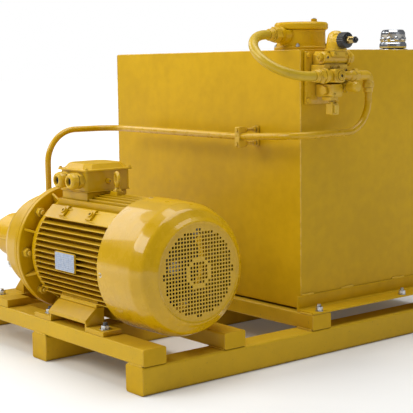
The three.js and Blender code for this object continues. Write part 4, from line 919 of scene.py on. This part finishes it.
def terminal_box():
    p = Piece("terminal_box_casting", nodes=["terminal_box"], mat="cast")
    body = rrect(-702, -525, -95, 104, 13, 6)
    p.add(mt(prism(body, "z", 240.3, 317, holes=[rrect(-695, -532, -88, 97, 7, 5)])), bevel=1.0, seg=2, ang=60)
    p.add(mt(prism(rrect(-695.5, -531.5, -88.5, 97.5, 7, 5), "z", 241, 249)))
    p.add(mt(lathe([(-526, 0), (-526, 13, 2), (-519, 11, 2), (-511.6, 7.5, 1), (-511.6, 3.2, 0.4), (-516, 3), (-516, 0)], "x", (0, 4, 278), 32)))
    # black disc at the bottom of the boss's hole is painted shade
    p.add(mt(cyl("x", 2.9, -516, -513, 4, 278, 20, 0.3)), "black")
    p.add(mt(prism(rrect(-706, -521, -99, 108, 13, 5), "z", 240.0, 243.2, chamfer=0.8)))
    p.done()
    q = Piece("terminal_box_cover", nodes=["terminal_box_lid"], mat="cast")
    def ring8(dx, dy, c, z, r=3.0):
        x0, x1, y0, y1 = -712 + dx, -515 - dx, -102 + dy, 111 - dy
        pts = [(x0 + c, y0, r), (x1 - c, y0, r), (x1, y0 + c, r), (x1, y1 - c, r), (x1 - c, y1, r), (x0 + c, y1, r), (x0, y1 - c, r), (x0, y0 + c, r)]
        return [(x, y, z) for x, y in rnd(pts, True, n=3)]
    lv = [ring8(0.8, 0.8, 11, 317.4), ring8(0, 0, 11, 318.2), ring8(0, 0, 11, 322.4), ring8(0.8, 0.8, 11, 323.6), ring8(9, 9, 21, 324.6), ring8(11, 11, 22, 326), ring8(22, 22, 24, 342.6), ring8(24, 24, 24, 344.2), ring8(27, 27, 24, 344.9)]
    v, f = layers(lv); n = len(lv[0])
    f += [tuple(range(n)), tuple(range(len(v) - n, len(v)))]
    q.add(mt((v, f)))
    for x, y in ((-703, -93), (-524, -93), (-703, 102), (-524, 102)):
        q.add(mt(lathe([(317.4, 0), (317.4, 9), (324.3, 9, 1.5), (324.3, 0)], "z", (x, y, 0), 32)))
        q.add(capscrew((x, AY + y, AZ + 324), "z", 1, 11, 6.0), "fitting")
    q.done()
    for nm, x in (("cable_gland_near", -560), ("cable_gland_far", -645)):
        g = Piece(nm + "_body", nodes=[nm], mat="fitting")
        mm = Matrix.Translation(Vector((x, AY - 95.4, AZ + 283))) @ toward("y", -1)
        g.add(turn(many(
            lathe([(0, 0), (0, 28), (3, 28, 0.8), (3, 0)], "z", n=48),
            hexprism(52, 3, 20, 0.2),
            lathe([(19.5, 0), (19.5, 23), (26, 23, 0.6), (26, 0)], "z", n=48)), mm))
        # ribbed domed nut with an open throat
        prof = [(24.5, 16), (24.5, 30.0, 1.2), (40, 30.6, 2), (48, 28.8, 4), (53.6, 24.0, 3), (55.2, 19.0, 1.5), (54.4, 15.6, 1.0), (46, 14.6, 1), (24.5, 14.6)]
        g.add(turn(lathe(prof, "z", n=64), mm))
        for k in range(12):
            t = 2 * pi * k / 12
            m2 = mm @ Matrix.Rotation(t, 4, "Z") @ Matrix.Translation(Vector((29.6, 0, 34)))
            g.add(turn(box(-1.2, 1.4, -2.6, 2.6, -7.5, 8.5), m2), bevel=0.7, seg=2)
        g.add(turn(lathe([(40, 0), (40, 14.7), (44, 14.7), (44, 10, 1.5), (41.5, 8), (41.5, 0)], "z", n=40), mm), "rubber")
        g.done()
    e = Piece("eyebolt_forging", nodes=["eyebolt"], mat="fitting", auto=50)
    e.add(mt(lathe([(243.9, 0), (243.9, 16), (247.5, 16.5, 1.5), (251, 12, 2), (256, 8.8, 3), (264, 8.4), (264, 0)], "z", (EYE, 0, 0), 40)))
    v, f = torus(24.5, 7.2, (0, 0, 0), "z", 56, 18)
    v = [(a * cos(0.38) + c * 0.94 * sin(0.38), -a * sin(0.38) + c * 0.94 * cos(0.38), b) for a, b, c in v]
    e.add(([(a + EYE, b + AY, c + AZ + 287) for a, b, c in v], f))
    e.done()
motor_frame(); shields(); cowl(); terminal_box()

# ================================================================== bellhousing, coupling, pump
def pump_set():
    p = Piece("bellhousing_casting", nodes=["bellhousing"], mat="cast", auto=36)
    X0, X1 = -985, -795.3
    prof = [(X1 - 0.2, 206), (X1 - 0.2, 243.8, 1), (X1 - 2.4, 245, 1.2), (-813, 245, 2), (-815, 242, 1), (-816.5, 216, 4), (-900, 204, 14), (-950, 198, 10), (-975, 190, 8), (X0 + 3, 181, 4), (X0, 175, 3),
            (X0, 63, 1), (-969, 63, 1), (-969, 150, 6), (-950, 174, 6), (-925, 182, 6), (-812, 193, 2), (-803, 206, 1)]
    n = 144
    pr = rnd(prof, True, 0, 4)
    win = lambda x, t: -902 < x < -848 and abs((t - pi / 2 + pi) % (2 * pi) - pi) < 0.27
    # the wall, split where the inspection window opens
    rows = sorted(set([-900.0, -850.0]))
    def split(pr):
        out = []
        for i in range(len(pr)):
            a, b = pr[i], pr[(i + 1) % len(pr)]
            out.append(a)
            cuts = [r for r in rows if min(a[0], b[0]) + 0.5 < r < max(a[0], b[0]) - 0.5 and min(a[1], b[1]) > 168]
            for r in sorted(cuts, reverse=b[0] < a[0]):
                k = (r - a[0]) / (b[0] - a[0])
                out.append((r, a[1] + (b[1] - a[1]) * k))
        return out
    pr = split(pr)
    v = [(a, r * cos(2 * pi * i / n), r * sin(2 * pi * i / n)) for a, r in pr for i in range(n)]
    f, N = [], len(pr)
    open_edges = {}
    for k in range(N):
        a, b = pr[k], pr[(k + 1) % N]
        for i in range(n):
            j = (i + 1) % n
            t = 2 * pi * (i + 0.5) / n
            mid = (a[0] + b[0]) / 2
            if -900 <= mid <= -850 and win(mid, t) and min(a[1], b[1]) > 168: continue
            f.append((k * n + i, k * n + j, ((k + 1) % N) * n + j, ((k + 1) % N) * n + i))
    # window sides
    t = bmesh.new()
    vs = [t.verts.new(q) for q in v]
    for q in f: t.faces.new([vs[i] for i in q])
    bmesh.ops.remove_doubles(t, verts=t.verts, dist=0.004)
    loose = [e for e in t.edges if len(e.link_faces) == 1]
    if loose: bmesh.ops.bridge_loops(t, edges=loose)
    bmesh.ops.recalc_face_normals(t, faces=t.faces)
    t.verts.index_update()
    vv = [tuple(q.co) for q in t.verts]; ff = [tuple(q.index for q in fc.verts) for fc in t.faces]
    t.free()
    p.add(mt((vv, ff)))
    p.done()
    q = Piece("bellhousing_bolts", mat="zinc")
    for y, z in ((-95, 0), (95, 0)):
        q.add(bolt((-1008, AY + y, AZ + z), "x", -1, 24, 12, True, 0, spin=y))
    q.done()
    b = Piece("pump_casting", nodes=["pump_body"], mat="cast", auto=38)
    b.add(mt(prism(rnd([(-125, -34, 16), (-70, -62, 14), (70, -62, 14), (125, -34, 16), (125, 34, 16), (70, 62, 14), (-70, 62, 14), (-125, 34, 16)], True, n=5), "x", -1008, -985.3, chamfer=1.0)), bevel=1.5, seg=2, ang=50)
    b.add(mt(lathe([(-973.5, 46), (-973.5, 61.6, 1), (-986, 61.6), (-986, 46)], "x", n=72)))
    b.add(mt(lathe([(-1007, 46), (-1007, 76, 0), (-1012, 88, 4), (-1018, 91.5, 4), (-1117, 91.5, 2), (-1119.5, 87, 1), (-1121.5, 87, 1), (-1124, 91.5, 2), (-1236, 91.5, 6), (-1262, 82, 10), (-1266, 76, 3), (-1287, 74, 5), (-1289.6, 64, 3), (-1289.6, 0), (-1255, 0), (-1255, 46)], "x", n=96)))
    b.add(mt(prism(rrect(-1245, -1165, -40, 40, 8), "y", 60, 100, holes=[circle(13, 40, -1205, 0)])), bevel=1.2, seg=2, ang=50)
    b.add(mt(prism(rrect(-1240, -1150, -42, 42, 9), "z", -110, -60, holes=[circle(26, 48, -1195, 0)])), bevel=1.2, seg=2, ang=50)
    for i in range(6):
        a = pi / 3 * i + pi / 6
        b.add(capscrew((-1266, AY + 66 * cos(a), AZ + 66 * sin(a)), "x", -1, 15, 9), "steel")
        o = rnd([(-1234, 84, 0), (-1234, 96, 3), (-1132, 96, 3), (-1132, 84, 0)], True)
        if abs(cos(a)) < 0.8: b.add(mt(turn(prism(o, "y", -3, 3, chamfer=0.5), Matrix.Rotation(a, 4, "X"))), bevel=0.8, seg=2, ang=50)
    b.add(mt(lathe([(88, 0), (88, 13), (95, 13, 1.5), (95, 0)], "z", (-1070, 0, 0), 32)))
    b.add(turn(mt(hexprism(19, 0, 8)), Matrix.Translation(Vector((-1070, 0, 95)))), "steel")
    b.done()
    dress("pump_shaft", "steel"); dress("coupling_motor_half", "castiron"); dress("coupling_pump_half", "castiron"); dress("coupling_spider", "rubber")
    s = Piece("bellhousing_support_steel", nodes=["bellhousing_support"], mat="skid")
    z0 = DECK + 0.4
    s.add(prism(rrect(-1118, -989, 8, 456, 6), "z", z0, 190, chamfer=0.6), bevel=1.5, seg=2, ang=50)
    for sg in (-1, 1):      # arms either side of the drum
        arc = [(AY + sg * sqrt(241.5 ** 2 - (AZ - z) ** 2), z) for z in [z0 + (190 - z0) * k / 10 for k in range(11)]]
        s.add(prism([(AY + sg * 224, z0), *arc, (AY + sg * 224, 190)], "x", -992, -915), bevel=1.2, seg=2, ang=50)
    arc1 = [(AY + 130 * cos(a), AZ + 130 * sin(a)) for a in [pi + 0.98 + (pi - 1.96) * k / 24 for k in range(25)]]
    up = [(334, 189, 0), (334, 288, 6)] + [(y, z, 0) for y, z in reversed(arc1) if z < 287.5] + [(130, 288, 6), (130, 189, 0)]
    s.add(prism(rnd(up, True), "x", -1012, -998), bevel=1.2, seg=2, ang=50)
    for ya, yb in ((134, 146), (318, 330)):
        s.add(prism([(-1011, 189.5), (-1083, 189.5), (-1011, 260)], "y", ya, yb), bevel=1.0, seg=2)
        s.add(weld((-1014, ya - 0.5, 190), (-1080, ya - 0.5, 190), 3.5, 4.6, ya), "weld")
        s.add(weld((-1014, yb + 0.5, 190), (-1080, yb + 0.5, 190), 3.5, 4.6, yb), "weld")
    for x in (-1013, -997):
        s.add(weld((x, 134, 190.4), (x, 330, 190.4), 3.6, 4.6, 5), "weld")
    for x in (-1102, -1040):
        for y in (54, 410):
            s.add(bolt((x, y, 190), "z", 1, 24, 14, True, 7, spin=x + y), "zinc")
    s.done()

# ================================================================== suction line
SX, SZ = -1195, 240
def st(vf): return shift(vf, SX, 0, SZ)
def suction():
    top = AZ - 110 - 0.3 - SZ
    e = Piece("suction_elbow_steel", nodes=["suction_elbow"], mat="pump")
    e.add(st(prism(rrect(-40, 40, AY - 40, AY + 40, 10), "z", top - 16, top, chamfer=0.8)), bevel=1.2, seg=2, ang=50)
    for dx in (-28, 28):
        for dy in (-28, 28):
            e.add(bolt((SX + dx, AY + dy, SZ + top - 16), "z", -1, 17, 9, True, 0, spin=dx), "zinc")
    pts = route([(0, AY, top - 10), (0, AY, 0), (0, AY + 90, 0)], [46], 14)
    e.add(st(sweep([tuple(q) for q in pts], 29.8, 32)))
    e.add(st(lathe([(AY + 60, 0), (AY + 60, 29.8), (486, 29.8), (486, 0)], "y", n=48)))
    e.add(st(lathe([(484, 0), (484, 45.5, 1.2), (493.8, 45.5, 1.2), (493.8, 0)], "y", n=64)))
    for y in (AY + 92, 483):
        e.add(st(turn(torus(30.4, 2.4, (0, y, 0), "y", 56, 8), Matrix.Identity(4))), "weld")
    e.done()
    c = Piece("suction_compensator_bellows", nodes=["suction_compensator"], mat="rubber")
    c.add(st(lathe([(494.5, 25), (494.5, 49.6, 1), (505, 49.6, 2), (510, 40, 4), (530, 37.5, 8), (546, 51.5, 10), (571, 51.5, 10), (586, 37.5, 8), (606, 40, 4), (611, 49.6, 2), (621.7, 49.6, 1), (621.7, 25)], "y", n=72, fn=6)))
    c.done()
    v = Piece("suction_valve_casting", nodes=["suction_valve_body"], mat="fitting")
    v.add(st(lathe([(622.4, 26.5), (622.4, 45.6, 1.2), (633.6, 45.6, 1.2), (635, 34.5, 2), (648, 34.5, 3), (653, 48, 5), (660, 49.8, 4), (697, 49.8, 4), (703, 47, 5), (708, 34.5, 3), (718, 33.5), (721, 30), (804, 30), (806.4, 49.6, 1), (821.4, 49.6, 1), (821.4, 26.5)], "y", n=72)))
    v.add(st(lathe([(30, 0), (30, 16), (58, 16, 2), (61, 12, 1), (65.6, 12, 1), (65.6, 0)], "z", (0, 677, 0), 40)))
    for y, d in ((634, 1), (806.2, -1)):
        for k in range(4):
            a = pi / 4 + pi / 2 * k
            v.add(bolt((SX + 39 * cos(a), y, SZ + 39 * sin(a)), "y", d, 13, 7, False, 3, spin=k), "zinc")
    v.done()
    l = Piece("suction_valve_handle", body="suction_lever", nodes=["suction_valve_lever"], mat="zinc")
    l.add(st(lathe([(66.5, 0), (66.5, 13.6, 1), (75.6, 13.6, 1.5), (75.6, 0)], "z", (0, 677, 0), 40)))
    l.add(st(prism(rnd([(-9, 686, 6), (9, 686, 6), (8, 570, 2), (9, 520, 3), (-9, 520, 3), (-8, 570, 2)], True), "z", 68.2, 73.8)), bevel=1.0, seg=2)
    grip = [(0, y, 71) for y in (577, 575, 570, 540, 512, 507, 505.2)]
    l.add(st(sweep(grip, [0.6, 0.9, 1, 1, 1, 0.86, 0.5], section=[(7.6 * sin(2 * pi * i / 28) * (1 + 0.0), 10.8 * cos(2 * pi * i / 28)) for i in range(28)])), "black")
    for k in range(9):
        l.add(st(shift(sweep([(0, 570 - k * 7 + 1.2, 71), (0, 570 - k * 7, 71), (0, 570 - k * 7 - 1.2, 71)], [0.99, 1.035, 0.99], section=[(7.6 * sin(2 * pi * i / 28), 10.8 * cos(2 * pi * i / 28)) for i in range(28)]), 0, 0, 0)), "black")
    l.done()

# ================================================================== valve group
def vt(vf): return shift(vf, TX1, 0, 0)
def valves():
    V = TX1
    p = Piece("valve_mount_plate_steel", nodes=["valve_mount_plate"], mat="paint")
    p.add(vt(prism(rrect(838, 1010, 952, 1150, 5), "x", 0.4, 12, chamfer=0.8)), bevel=1.0, seg=2, ang=50)
    for y, z in ((850, 966), (850, 1136), (998, 966), (998, 1136)):
        p.add(bolt((V + 12, y, z), "x", 1, 17, 8, True, 0, spin=z), "fitting")
    p.done()
    m = Piece("manifold_casting", nodes=["manifold_block"], mat="fitting", auto=36)
    m.add(vt(prism(rnd([(862, 1037, 4), (986, 1037, 6), (986, 1100, 3), (862, 1100, 6)], True), "x", 12.4, 86, chamfer=0.6)), bevel=2.0, seg=3, ang=50)
    m.add(vt(prism(rnd([(874, 1098, 0), (979, 1098, 0), (979, 1136, 8), (969, 1149, 8), (886, 1149, 8), (874, 1136, 8)], True), "x", 12.4, 79, chamfer=0.6)), bevel=2.0, seg=3, ang=50)
    m.add(vt(lathe([(862, 0), (862, 20.5, 2), (868, 23.8, 2), (930, 23.8, 0), (978, 23.8, 1), (984, 23.8, 0.8), (984.3, 30.5, 1), (991, 31, 1.2), (992, 28.6, 0.6), (995, 28.6, 0.6), (996, 31, 1.2), (1004.5, 31, 1.4), (1005.5, 25, 0.5), (1005.5, 0)], "y", (66, 0, 1124), 56)))
    m.add(turn(many(hexprism(41, 0, 16, 0.15), lathe([(16, 0), (16, 15), (23.6, 13.8, 2), (24.2, 0)], "z", n=40)), Matrix.Translation(Vector((V + 66, 1005.4, 1124))) @ toward("y")))
    m.add(turn(many(hexprism(28, 0, 12, 0.4), lathe([(12, 0), (12, 7), (17, 6.4, 1), (17, 3), (15, 2.6), (15, 0)], "z", n=28)), Matrix.Translation(Vector((V + 66, 862, 1128))) @ toward("y", -1)))
    m.add(vt(prism(rnd([(896, 1128, 4), (971.5, 1128, 4), (971.5, 1148.8, 2), (896, 1148.8, 2)], True), "x", 40, 103.6, chamfer=1.0)), bevel=2.2, seg=3, ang=50)
    # test point on the front of the cross bore, its socket floored with a black disc as painted shade
    m.add(turn(many(lathe([(-6, 0), (-6, 8.6), (1.6, 8.4, 0.8), (1.6, 4.6, 0.4), (-2, 4.4), (-2, 0)], "z", n=32)), Matrix.Translation(Vector((V + 89.6, 877, 1126))) @ toward("x")))
    m.add(turn(cyl("z", 4.4, -2, 0.4, 0, 0, 20, 0.1), Matrix.Translation(Vector((V + 89.6, 877, 1126))) @ toward("x")), "black")
    m.add(vt(lathe([(846.2, 0), (846.2, 28.6, 1.2), (853, 29, 1), (859, 28.6, 1.4), (861, 24, 1), (866, 20.8, 3), (938, 20.8, 3), (946, 17.6, 3), (984, 17.6, 3), (990, 20.8, 2), (1009.6, 20.8, 1), (1009.6, 0)], "y", (93, 0, 1058), 56)))
    # hexagonal plug body facing out, with its ring and socket; the black disc in the socket is painted shade
    m.add(vt(prism(rnd([(884, 1033, 9), (936, 1033, 9), (936, 1084, 9), (884, 1084, 9)], True), "x", 72, 121, chamfer=1.5)), bevel=1.5, seg=2, ang=50)
    mm = Matrix.Translation(Vector((V + 120.6, 910, 1058))) @ toward("x")
    m.add(turn(many(lathe([(-2, 0), (-2, 25.4), (2.4, 25.4, 1), (3.2, 22.6, 0.6), (3.6, 22.4), (4.2, 23.6, 0.8), (6.6, 23.6, 0.8), (7.0, 19.6, 0.6), (5.4, 19.0, 0.3), (5.4, 0)], "z", n=64), lathe([(5, 0), (5, 16.6, 0.6), (11.0, 16.6, 1.2), (11.6, 12.6, 0.5), (9.8, 12.0, 0.3), (9.8, 10.8, 0.2), (12.0, 10.4, 0.6), (12.2, 6.4, 0.5), (6, 6.0), (6, 0)], "z", n=56)), mm))
    m.add(turn(cyl("z", 6.0, 5, 8.0, 0, 0, 32, 0.3), mm), "black")
    for y, z in ((938, 1090), (900, 1090)):
        m.add(capscrew((V + 86, y, z), "x", 1, 10, 4.5))
    for y in (906, 962):
        m.add(capscrew((V + 103.4, y, 1138), "x", 1, 9, 3.5))
    # two small ports, each floored with a black disc as painted shade
    for y in (958, 978):
        m.add(turn(lathe([(0, 0), (0, 8.4), (3, 8.0, 1), (3, 4.4, 0.5), (1, 4.2), (1, 0)], "z", n=28), Matrix.Translation(Vector((V + 85.6, y, 1078))) @ toward("x")))
        m.add(turn(cyl("z", 4.2, 1, 1.6, 0, 0, 20, 0.1), Matrix.Translation(Vector((V + 85.6, y, 1078))) @ toward("x")), "black")
    m.done()
    b = Piece("lower_block_casting", nodes=["lower_block"], mat="fitting")
    b.add(vt(prism(rnd([(890, 978, 9), (946, 978, 12), (946, 1027, 6), (890, 1027, 4)], True), "x", 12.4, 100, chamfer=1.4)), bevel=2.6, seg=3, ang=50)
    b.add(vt(prism(rrect(40, 92, 892, 930, 6), "z", 966.2, 979, chamfer=0.6)), bevel=1.2, seg=2, ang=50)
    b.add(turn(hexprism(32, 0, 12.6, 0.2), Matrix.Translation(Vector((V + 62, 890, 1004))) @ toward("y", -1)))
    for y, z in ((903, 990), (934, 1015)):
        b.add(capscrew((V + 100, y, z), "x", 1, 8.5, 3.4))
    b.done()
    c = Piece("cartridge_valve_body", nodes=["cartridge_valve"], mat="fitting")
    mm = Matrix.Translation(Vector((V + 86.4, 971, 1015))) @ toward("x")
    c.add(turn(many(hexprism(38, 0, 17, 0.35), lathe([(16.5, 0), (16.5, 16, 0), (19, 18.6, 1), (24, 19.8, 2), (58, 20, 5), (65, 17.4, 3), (69, 15.4, 3), (69.4, 0)], "z", n=52, fn=5)), mm))
    c.add(turn(torus(17.9, 1.1, (0, 0, 20.5), "z", 48, 8), mm))
    c.add(vt(prism(rrect(948, 990, 994, 1036, 6), "x", 12.4, 86.5, chamfer=0.6)), bevel=1.4, seg=2, ang=50)
    c.done()
    s = Piece("pressure_switch_housing", nodes=["pressure_switch"], mat="fitting")
    s.add(vt(prism(rrect(890, 926, 912, 955, 5), "x", 67, 100, chamfer=1.2)), bevel=1.8, seg=2, ang=50)
    s.add(vt(prism(rrect(896, 920, 918, 949, 5), "x", 99, 106.6, chamfer=1.0)), bevel=1.4, seg=2, ang=50)
    s.add(turn(many(hexprism(22, -4, 7), lathe([(6.8, 0), (6.8, 9), (10.2, 9), (10.2, 0)], "z", n=24)), Matrix.Translation(Vector((V + 80, 908, 955)))))
    # two small bosses, each with a black disc in its hole as painted shade
    for y in (897, 919):
        mq = Matrix.Translation(Vector((V + 92, y, 954)))
        s.add(turn(lathe([(0, 0), (0, 5.4), (6, 5.0, 0.8), (6, 2.4), (4.5, 2.3), (4.5, 0)], "z", n=24), mq))
        s.add(turn(cyl("z", 2.3, 4.5, 5.2, 0, 0, 14, 0.1), mq), "black")
    s.done()
    r = Piece("relief_valve_casting", nodes=["relief_valve_body"], mat="fitting")
    r.add(vt(lathe([(1149.5, 0), (1149.5, 41.5, 1.2), (1156.4, 41.5, 1.5), (1158, 36.6, 1), (1162, 36.6, 2), (1182, 35.2, 10), (1198, 32.5, 8), (1215, 26.5, 8), (1223.6, 15, 5), (1225.8, 5), (1225.8, 0)], "z", (73.3, 936, 0), 64, fn=5)))
    r.add(vt(lathe([(84, 10.6), (84, 22), (106, 21.6, 1), (110.4, 20.4, 1.6), (110.4, 10.6, 0.5)], "x", (0, 925, 1189), 48)))
    for a in (0.6, 2.2, 3.8, 5.4):
        r.add(capscrew((V + 73.3 + 38.4 * cos(a), 936 + 38.4 * sin(a), 1156), "z", 1, 6, 3.5))
    r.done()
    k = Piece("relief_adjuster_knob", body="relief_adjuster", nodes=["relief_valve_knob"], mat="black", auto=40)
    n, N = 120, 20
    def kr(t, r): return r * (1 - 0.055 * (0.5 + 0.5 * cos(N * t)) ** 2)
    lv = [(98.6, 8.2, 0), (111.8, 8.2, 0), (111.8, 24, 0), (113, 28.2, 1), (115.5, 29.8, 1), (130, 29.8, 1), (132.5, 28.4, 1), (133.8, 25.5, 1), (133.9, 18, 0), (134.4, 16.6, 0), (140.8, 16.2, 0), (141.7, 14.8, 0), (141.7, 6, 0)]
    lv = [(x if x < 120 else x + 14 if x < 134 else 148 + (x - 134) * 0.07, r, g_) for x, r, g_ in lv]
    loops = [[(x, (kr(2 * pi * i / n, r) if g_ else r) * cos(2 * pi * i / n), (kr(2 * pi * i / n, r) if g_ else r) * sin(2 * pi * i / n)) for i in range(n)] for x, r, g_ in lv]
    v, f = layers(loops); f += [tuple(range(n)), tuple(range(len(v) - n, len(v)))]
    k.add(vt(shift((v, f), 0, 925, 1189)))
    k.done()
    t = Piece("relief_adjuster_stem", body="relief_adjuster", nodes=["relief_valve_stem"], mat="brass")
    mm = Matrix.Translation(Vector((V + 142.4, 925, 1189))) @ toward("x")
    t.add(turn(hexprism(26, 6.7, 17.0, 0.1), mm))
    t.add(turn(screw_end(12.0, 16.8, 40, 2.4), mm))
    t.add(turn(lathe([(38, 0), (38, 12.2, 0.5), (43, 12.2, 1.2), (43.4, 0)], "z", n=32), mm), "black")
    t.add(turn(lathe([(43, 0), (43, 6.6), (51, 6.2, 1), (51.4, 0)], "z", n=24), mm), "black")
    t.done()
    h = Piece("manifold_hose_tail", nodes=["manifold_hose_fitting"], mat="fitting")
    mm = Matrix.Translation(Vector((V + 93, 845.6, 1058))) @ toward("y", -1)
    h.add(turn(many(hexprism(49, 0, 18.4, 0.3), lathe([(18, 0), (18, 22), (19.4, 24.8, 0.8), (24, 24.8, 1), (25, 21.6, 0.4), (26, 21.6, 0.4), (26, 22.8, 0.8), (45.4, 22.4, 2), (45.4, 18.4), (45.4, 0)], "z", n=48, fn=3)), mm))
    for q in (30, 34.5, 39): h.add(turn(torus(22.3, 0.9, (0, 0, q), "z", 48, 8), mm))
    h.done()
    e = Piece("pressure_elbow_forging", nodes=["pressure_elbow"], mat="fitting", auto=45)
    mm = Matrix.Translation(Vector((V + 90, 1010.5, 1058))) @ toward("y")
    e.add(turn(hexprism(45, 0, 21, 0.2), mm))
    e.add(turn(lathe([(20.8, 0), (20.8, 20, 1), (23, 21.4, 1), (27, 21.4, 1.4), (28.5, 19.4, 1), (60, 19.2), (60, 0)], "z", n=48), mm))
    pts = route([(V + 90, 1060, 1058), (V + 90, 1096, 1058), (V + 90, 1096, 1036)], [19], 10)
    e.add(sweep([tuple(q) for q in pts], 19.4, 36))
    m2 = Matrix.Translation(Vector((V + 90, 1096, 1010.6)))
    e.add(turn(many(hexprism(39, 0, 20, 0.1), lathe([(19.5, 0), (19.5, 19.5), (22, 20.2, 0.6), (27, 20.2, 1), (28, 19, 0.6), (28, 0)], "z", n=44)), m2))
    e.add(turn(lathe([(-0.2, 0), (-0.2, 17), (3.5, 19, 0.6), (3.5, 0)], "z", n=40), m2), "zinc")
    e.done()

# ================================================================== pressure tube and clamp
PX = -1205
def lines():
    corners = [(PX, AY + 101, AZ), (PX, 388, AZ), (PX, 388, 833), (PX, 732, 833), (-337, 732, 826), (-3, 732, 840), (-3, 1096, 845), (-3, 1096, 1010)]
    pts = route(corners, [44, 140, 100, 60, 100, 122], 18)
    p = Piece("pressure_tube_bent", nodes=["pressure_tube"], mat="paint", auto=60)
    p.add(sweep([tuple(q) for q in pts], 13.0, 28))
    p.add(prism(rrect(PX - 34, PX + 34, AZ - 24, AZ + 24, 9), "y", AY + 100.4, AY + 118, chamfer=0.8), bevel=1.5, seg=2, ang=50)
    p.add(lathe([(AY + 116, 0), (AY + 116, 19, 1), (AY + 128, 17.6, 2), (AY + 131, 13.6, 1), (AY + 131, 0)], "y", (PX, 0, AZ), 40))
    for dx in (-24, 24):
        for dz in (-15, 15):
            p.add(capscrew((PX + dx, AY + 118, AZ + dz), "y", 1, 12, 9), "zinc")
    p.add(lathe([(991, 0), (991, 14.2), (993, 17.6, 1), (1010, 18.2, 0.8), (1010, 0)], "z", (-3, 1096, 0), 40), "fitting") 
    p.done()
    c = Piece("pipe_clamp_steel", nodes=["pipe_clamp"], mat="fitting")
    X = -337
    for za, zb in ((784.6, 825.6), (826.6, 863.6)):
        c.add(prism(rrect(714.4, 749.6, za, zb, 5), "x", X - 12.6, X + 12.6, chamfer=0.8), bevel=1.8, seg=3, ang=50)
    c.add(lathe([(X - 15, 13.2), (X - 15, 16.6, 0.8), (X + 15, 16.6, 0.8), (X + 15, 13.2)], "x", (0, 732, 826.1), 40))
    for z in (852, 798):
        m = Matrix.Translation(Vector((X, 749.6, z))) @ toward("y")
        c.add(turn(many(screw_end(5.8, 0, 64, 2.0), hexprism(19, 1.6, 11.6, z)), m))
        c.add(turn(many(lathe([(11.6, 0), (11.6, 11.5), (13.6, 11.5, 0.8), (13.6, 0)], "z", n=32), hexprism(19, 48, 58, z + 1)), m))
        c.add(bolt((X, 714.6, z), "y", -1, 14, 5, False, 0, spin=z))
    for z in (850, 800):
        c.add(prism(rrect(X - 13, X + 13, z - 15, z + 15, 5), "y", 812.2, 821.6, chamfer=0.8), bevel=1.5, seg=2, ang=50)
    c.done()
pump_set(); suction(); valves(); lines()

# ------------------------------------------------------------------ floor and light
WORLD, EMIT = 0.19, 0.05
KEY, LEFT, TOP, FRONT = 318, 125, 305, 6
def studio():
    sc = bpy.context.scene
    sc.view_settings.view_transform = "Standard"
    me = bpy.data.meshes.new("floor")
    s = 90
    me.from_pydata([(-s, -s, 0), (s, -s, 0), (s, s, 0), (-s, s, 0)], [], [(0, 1, 2, 3)])
    fl = bpy.data.objects.new("floor", me)
    sc.collection.objects.link(fl)
    g = Graph("floor_pale")
    m = g.out(g.mix(g.noise(3, 3), (0.83, 0.83, 0.82), (0.87, 0.87, 0.86)), 0.85, None, 0.0, spec=0.1)
    # the floor glows a little, and more towards the horizon, so that it meets the white backdrop
    g.b.inputs["Emission Color"].default_value = (1, 1, 1, 1)
    ln = g.new("ShaderNodeVectorMath", operation="LENGTH"); g.link(g.tc, ln.inputs[0])
    g.link(g.ramp(ln.outputs["Value"], 1.6, 7.0, EMIT, 0.95), g.b.inputs["Emission Strength"])
    me.materials.append(m)
    w = bpy.data.worlds.new("studio"); sc.world = w; w.use_nodes = True
    t = w.node_tree
    bg = t.nodes["Background"]; bg.inputs["Color"].default_value = (0.96, 0.98, 1.0, 1); bg.inputs["Strength"].default_value = WORLD
    b2 = t.nodes.new("ShaderNodeBackground"); b2.inputs["Color"].default_value = (1, 1, 1, 1); b2.inputs["Strength"].default_value = 1.0
    lp = t.nodes.new("ShaderNodeLightPath"); mx = t.nodes.new("ShaderNodeMixShader")
    t.links.new(lp.outputs["Is Camera Ray"], mx.inputs[0]); t.links.new(bg.outputs[0], mx.inputs[1]); t.links.new(b2.outputs[0], mx.inputs[2])
    t.links.new(mx.outputs[0], t.nodes["World Output"].inputs["Surface"])
    def area(name, loc, aim, w_, h_, power, color=(1, 1, 1)):
        d = bpy.data.lights.new(name, "AREA"); d.shape = "RECTANGLE"; d.size, d.size_y, d.energy, d.color = w_, h_, power, color
        o = bpy.data.objects.new(name, d)
        o.location = loc
        o.rotation_euler = (Vector(aim) - Vector(loc)).to_track_quat("-Z", "Y").to_euler()
        sc.collection.objects.link(o)
    area("key", (-2.6, -6.0, 5.2), (0, 0, 0.5), 4.5, 3.2, KEY, (1, 0.99, 0.96))
    area("sky_left", (-5.6, -1.6, 3.9), (0.3, -0.6, 0.5), 5.2, 2.6, LEFT, (0.98, 0.99, 1))
    area("top", (0.6, 0.4, 6.5), (0, 0, 0), 5, 5, TOP)
    area("front", (5.8, 0.4, 2.2), (0, 0, 0.6), 3, 2.4, FRONT)
studio()
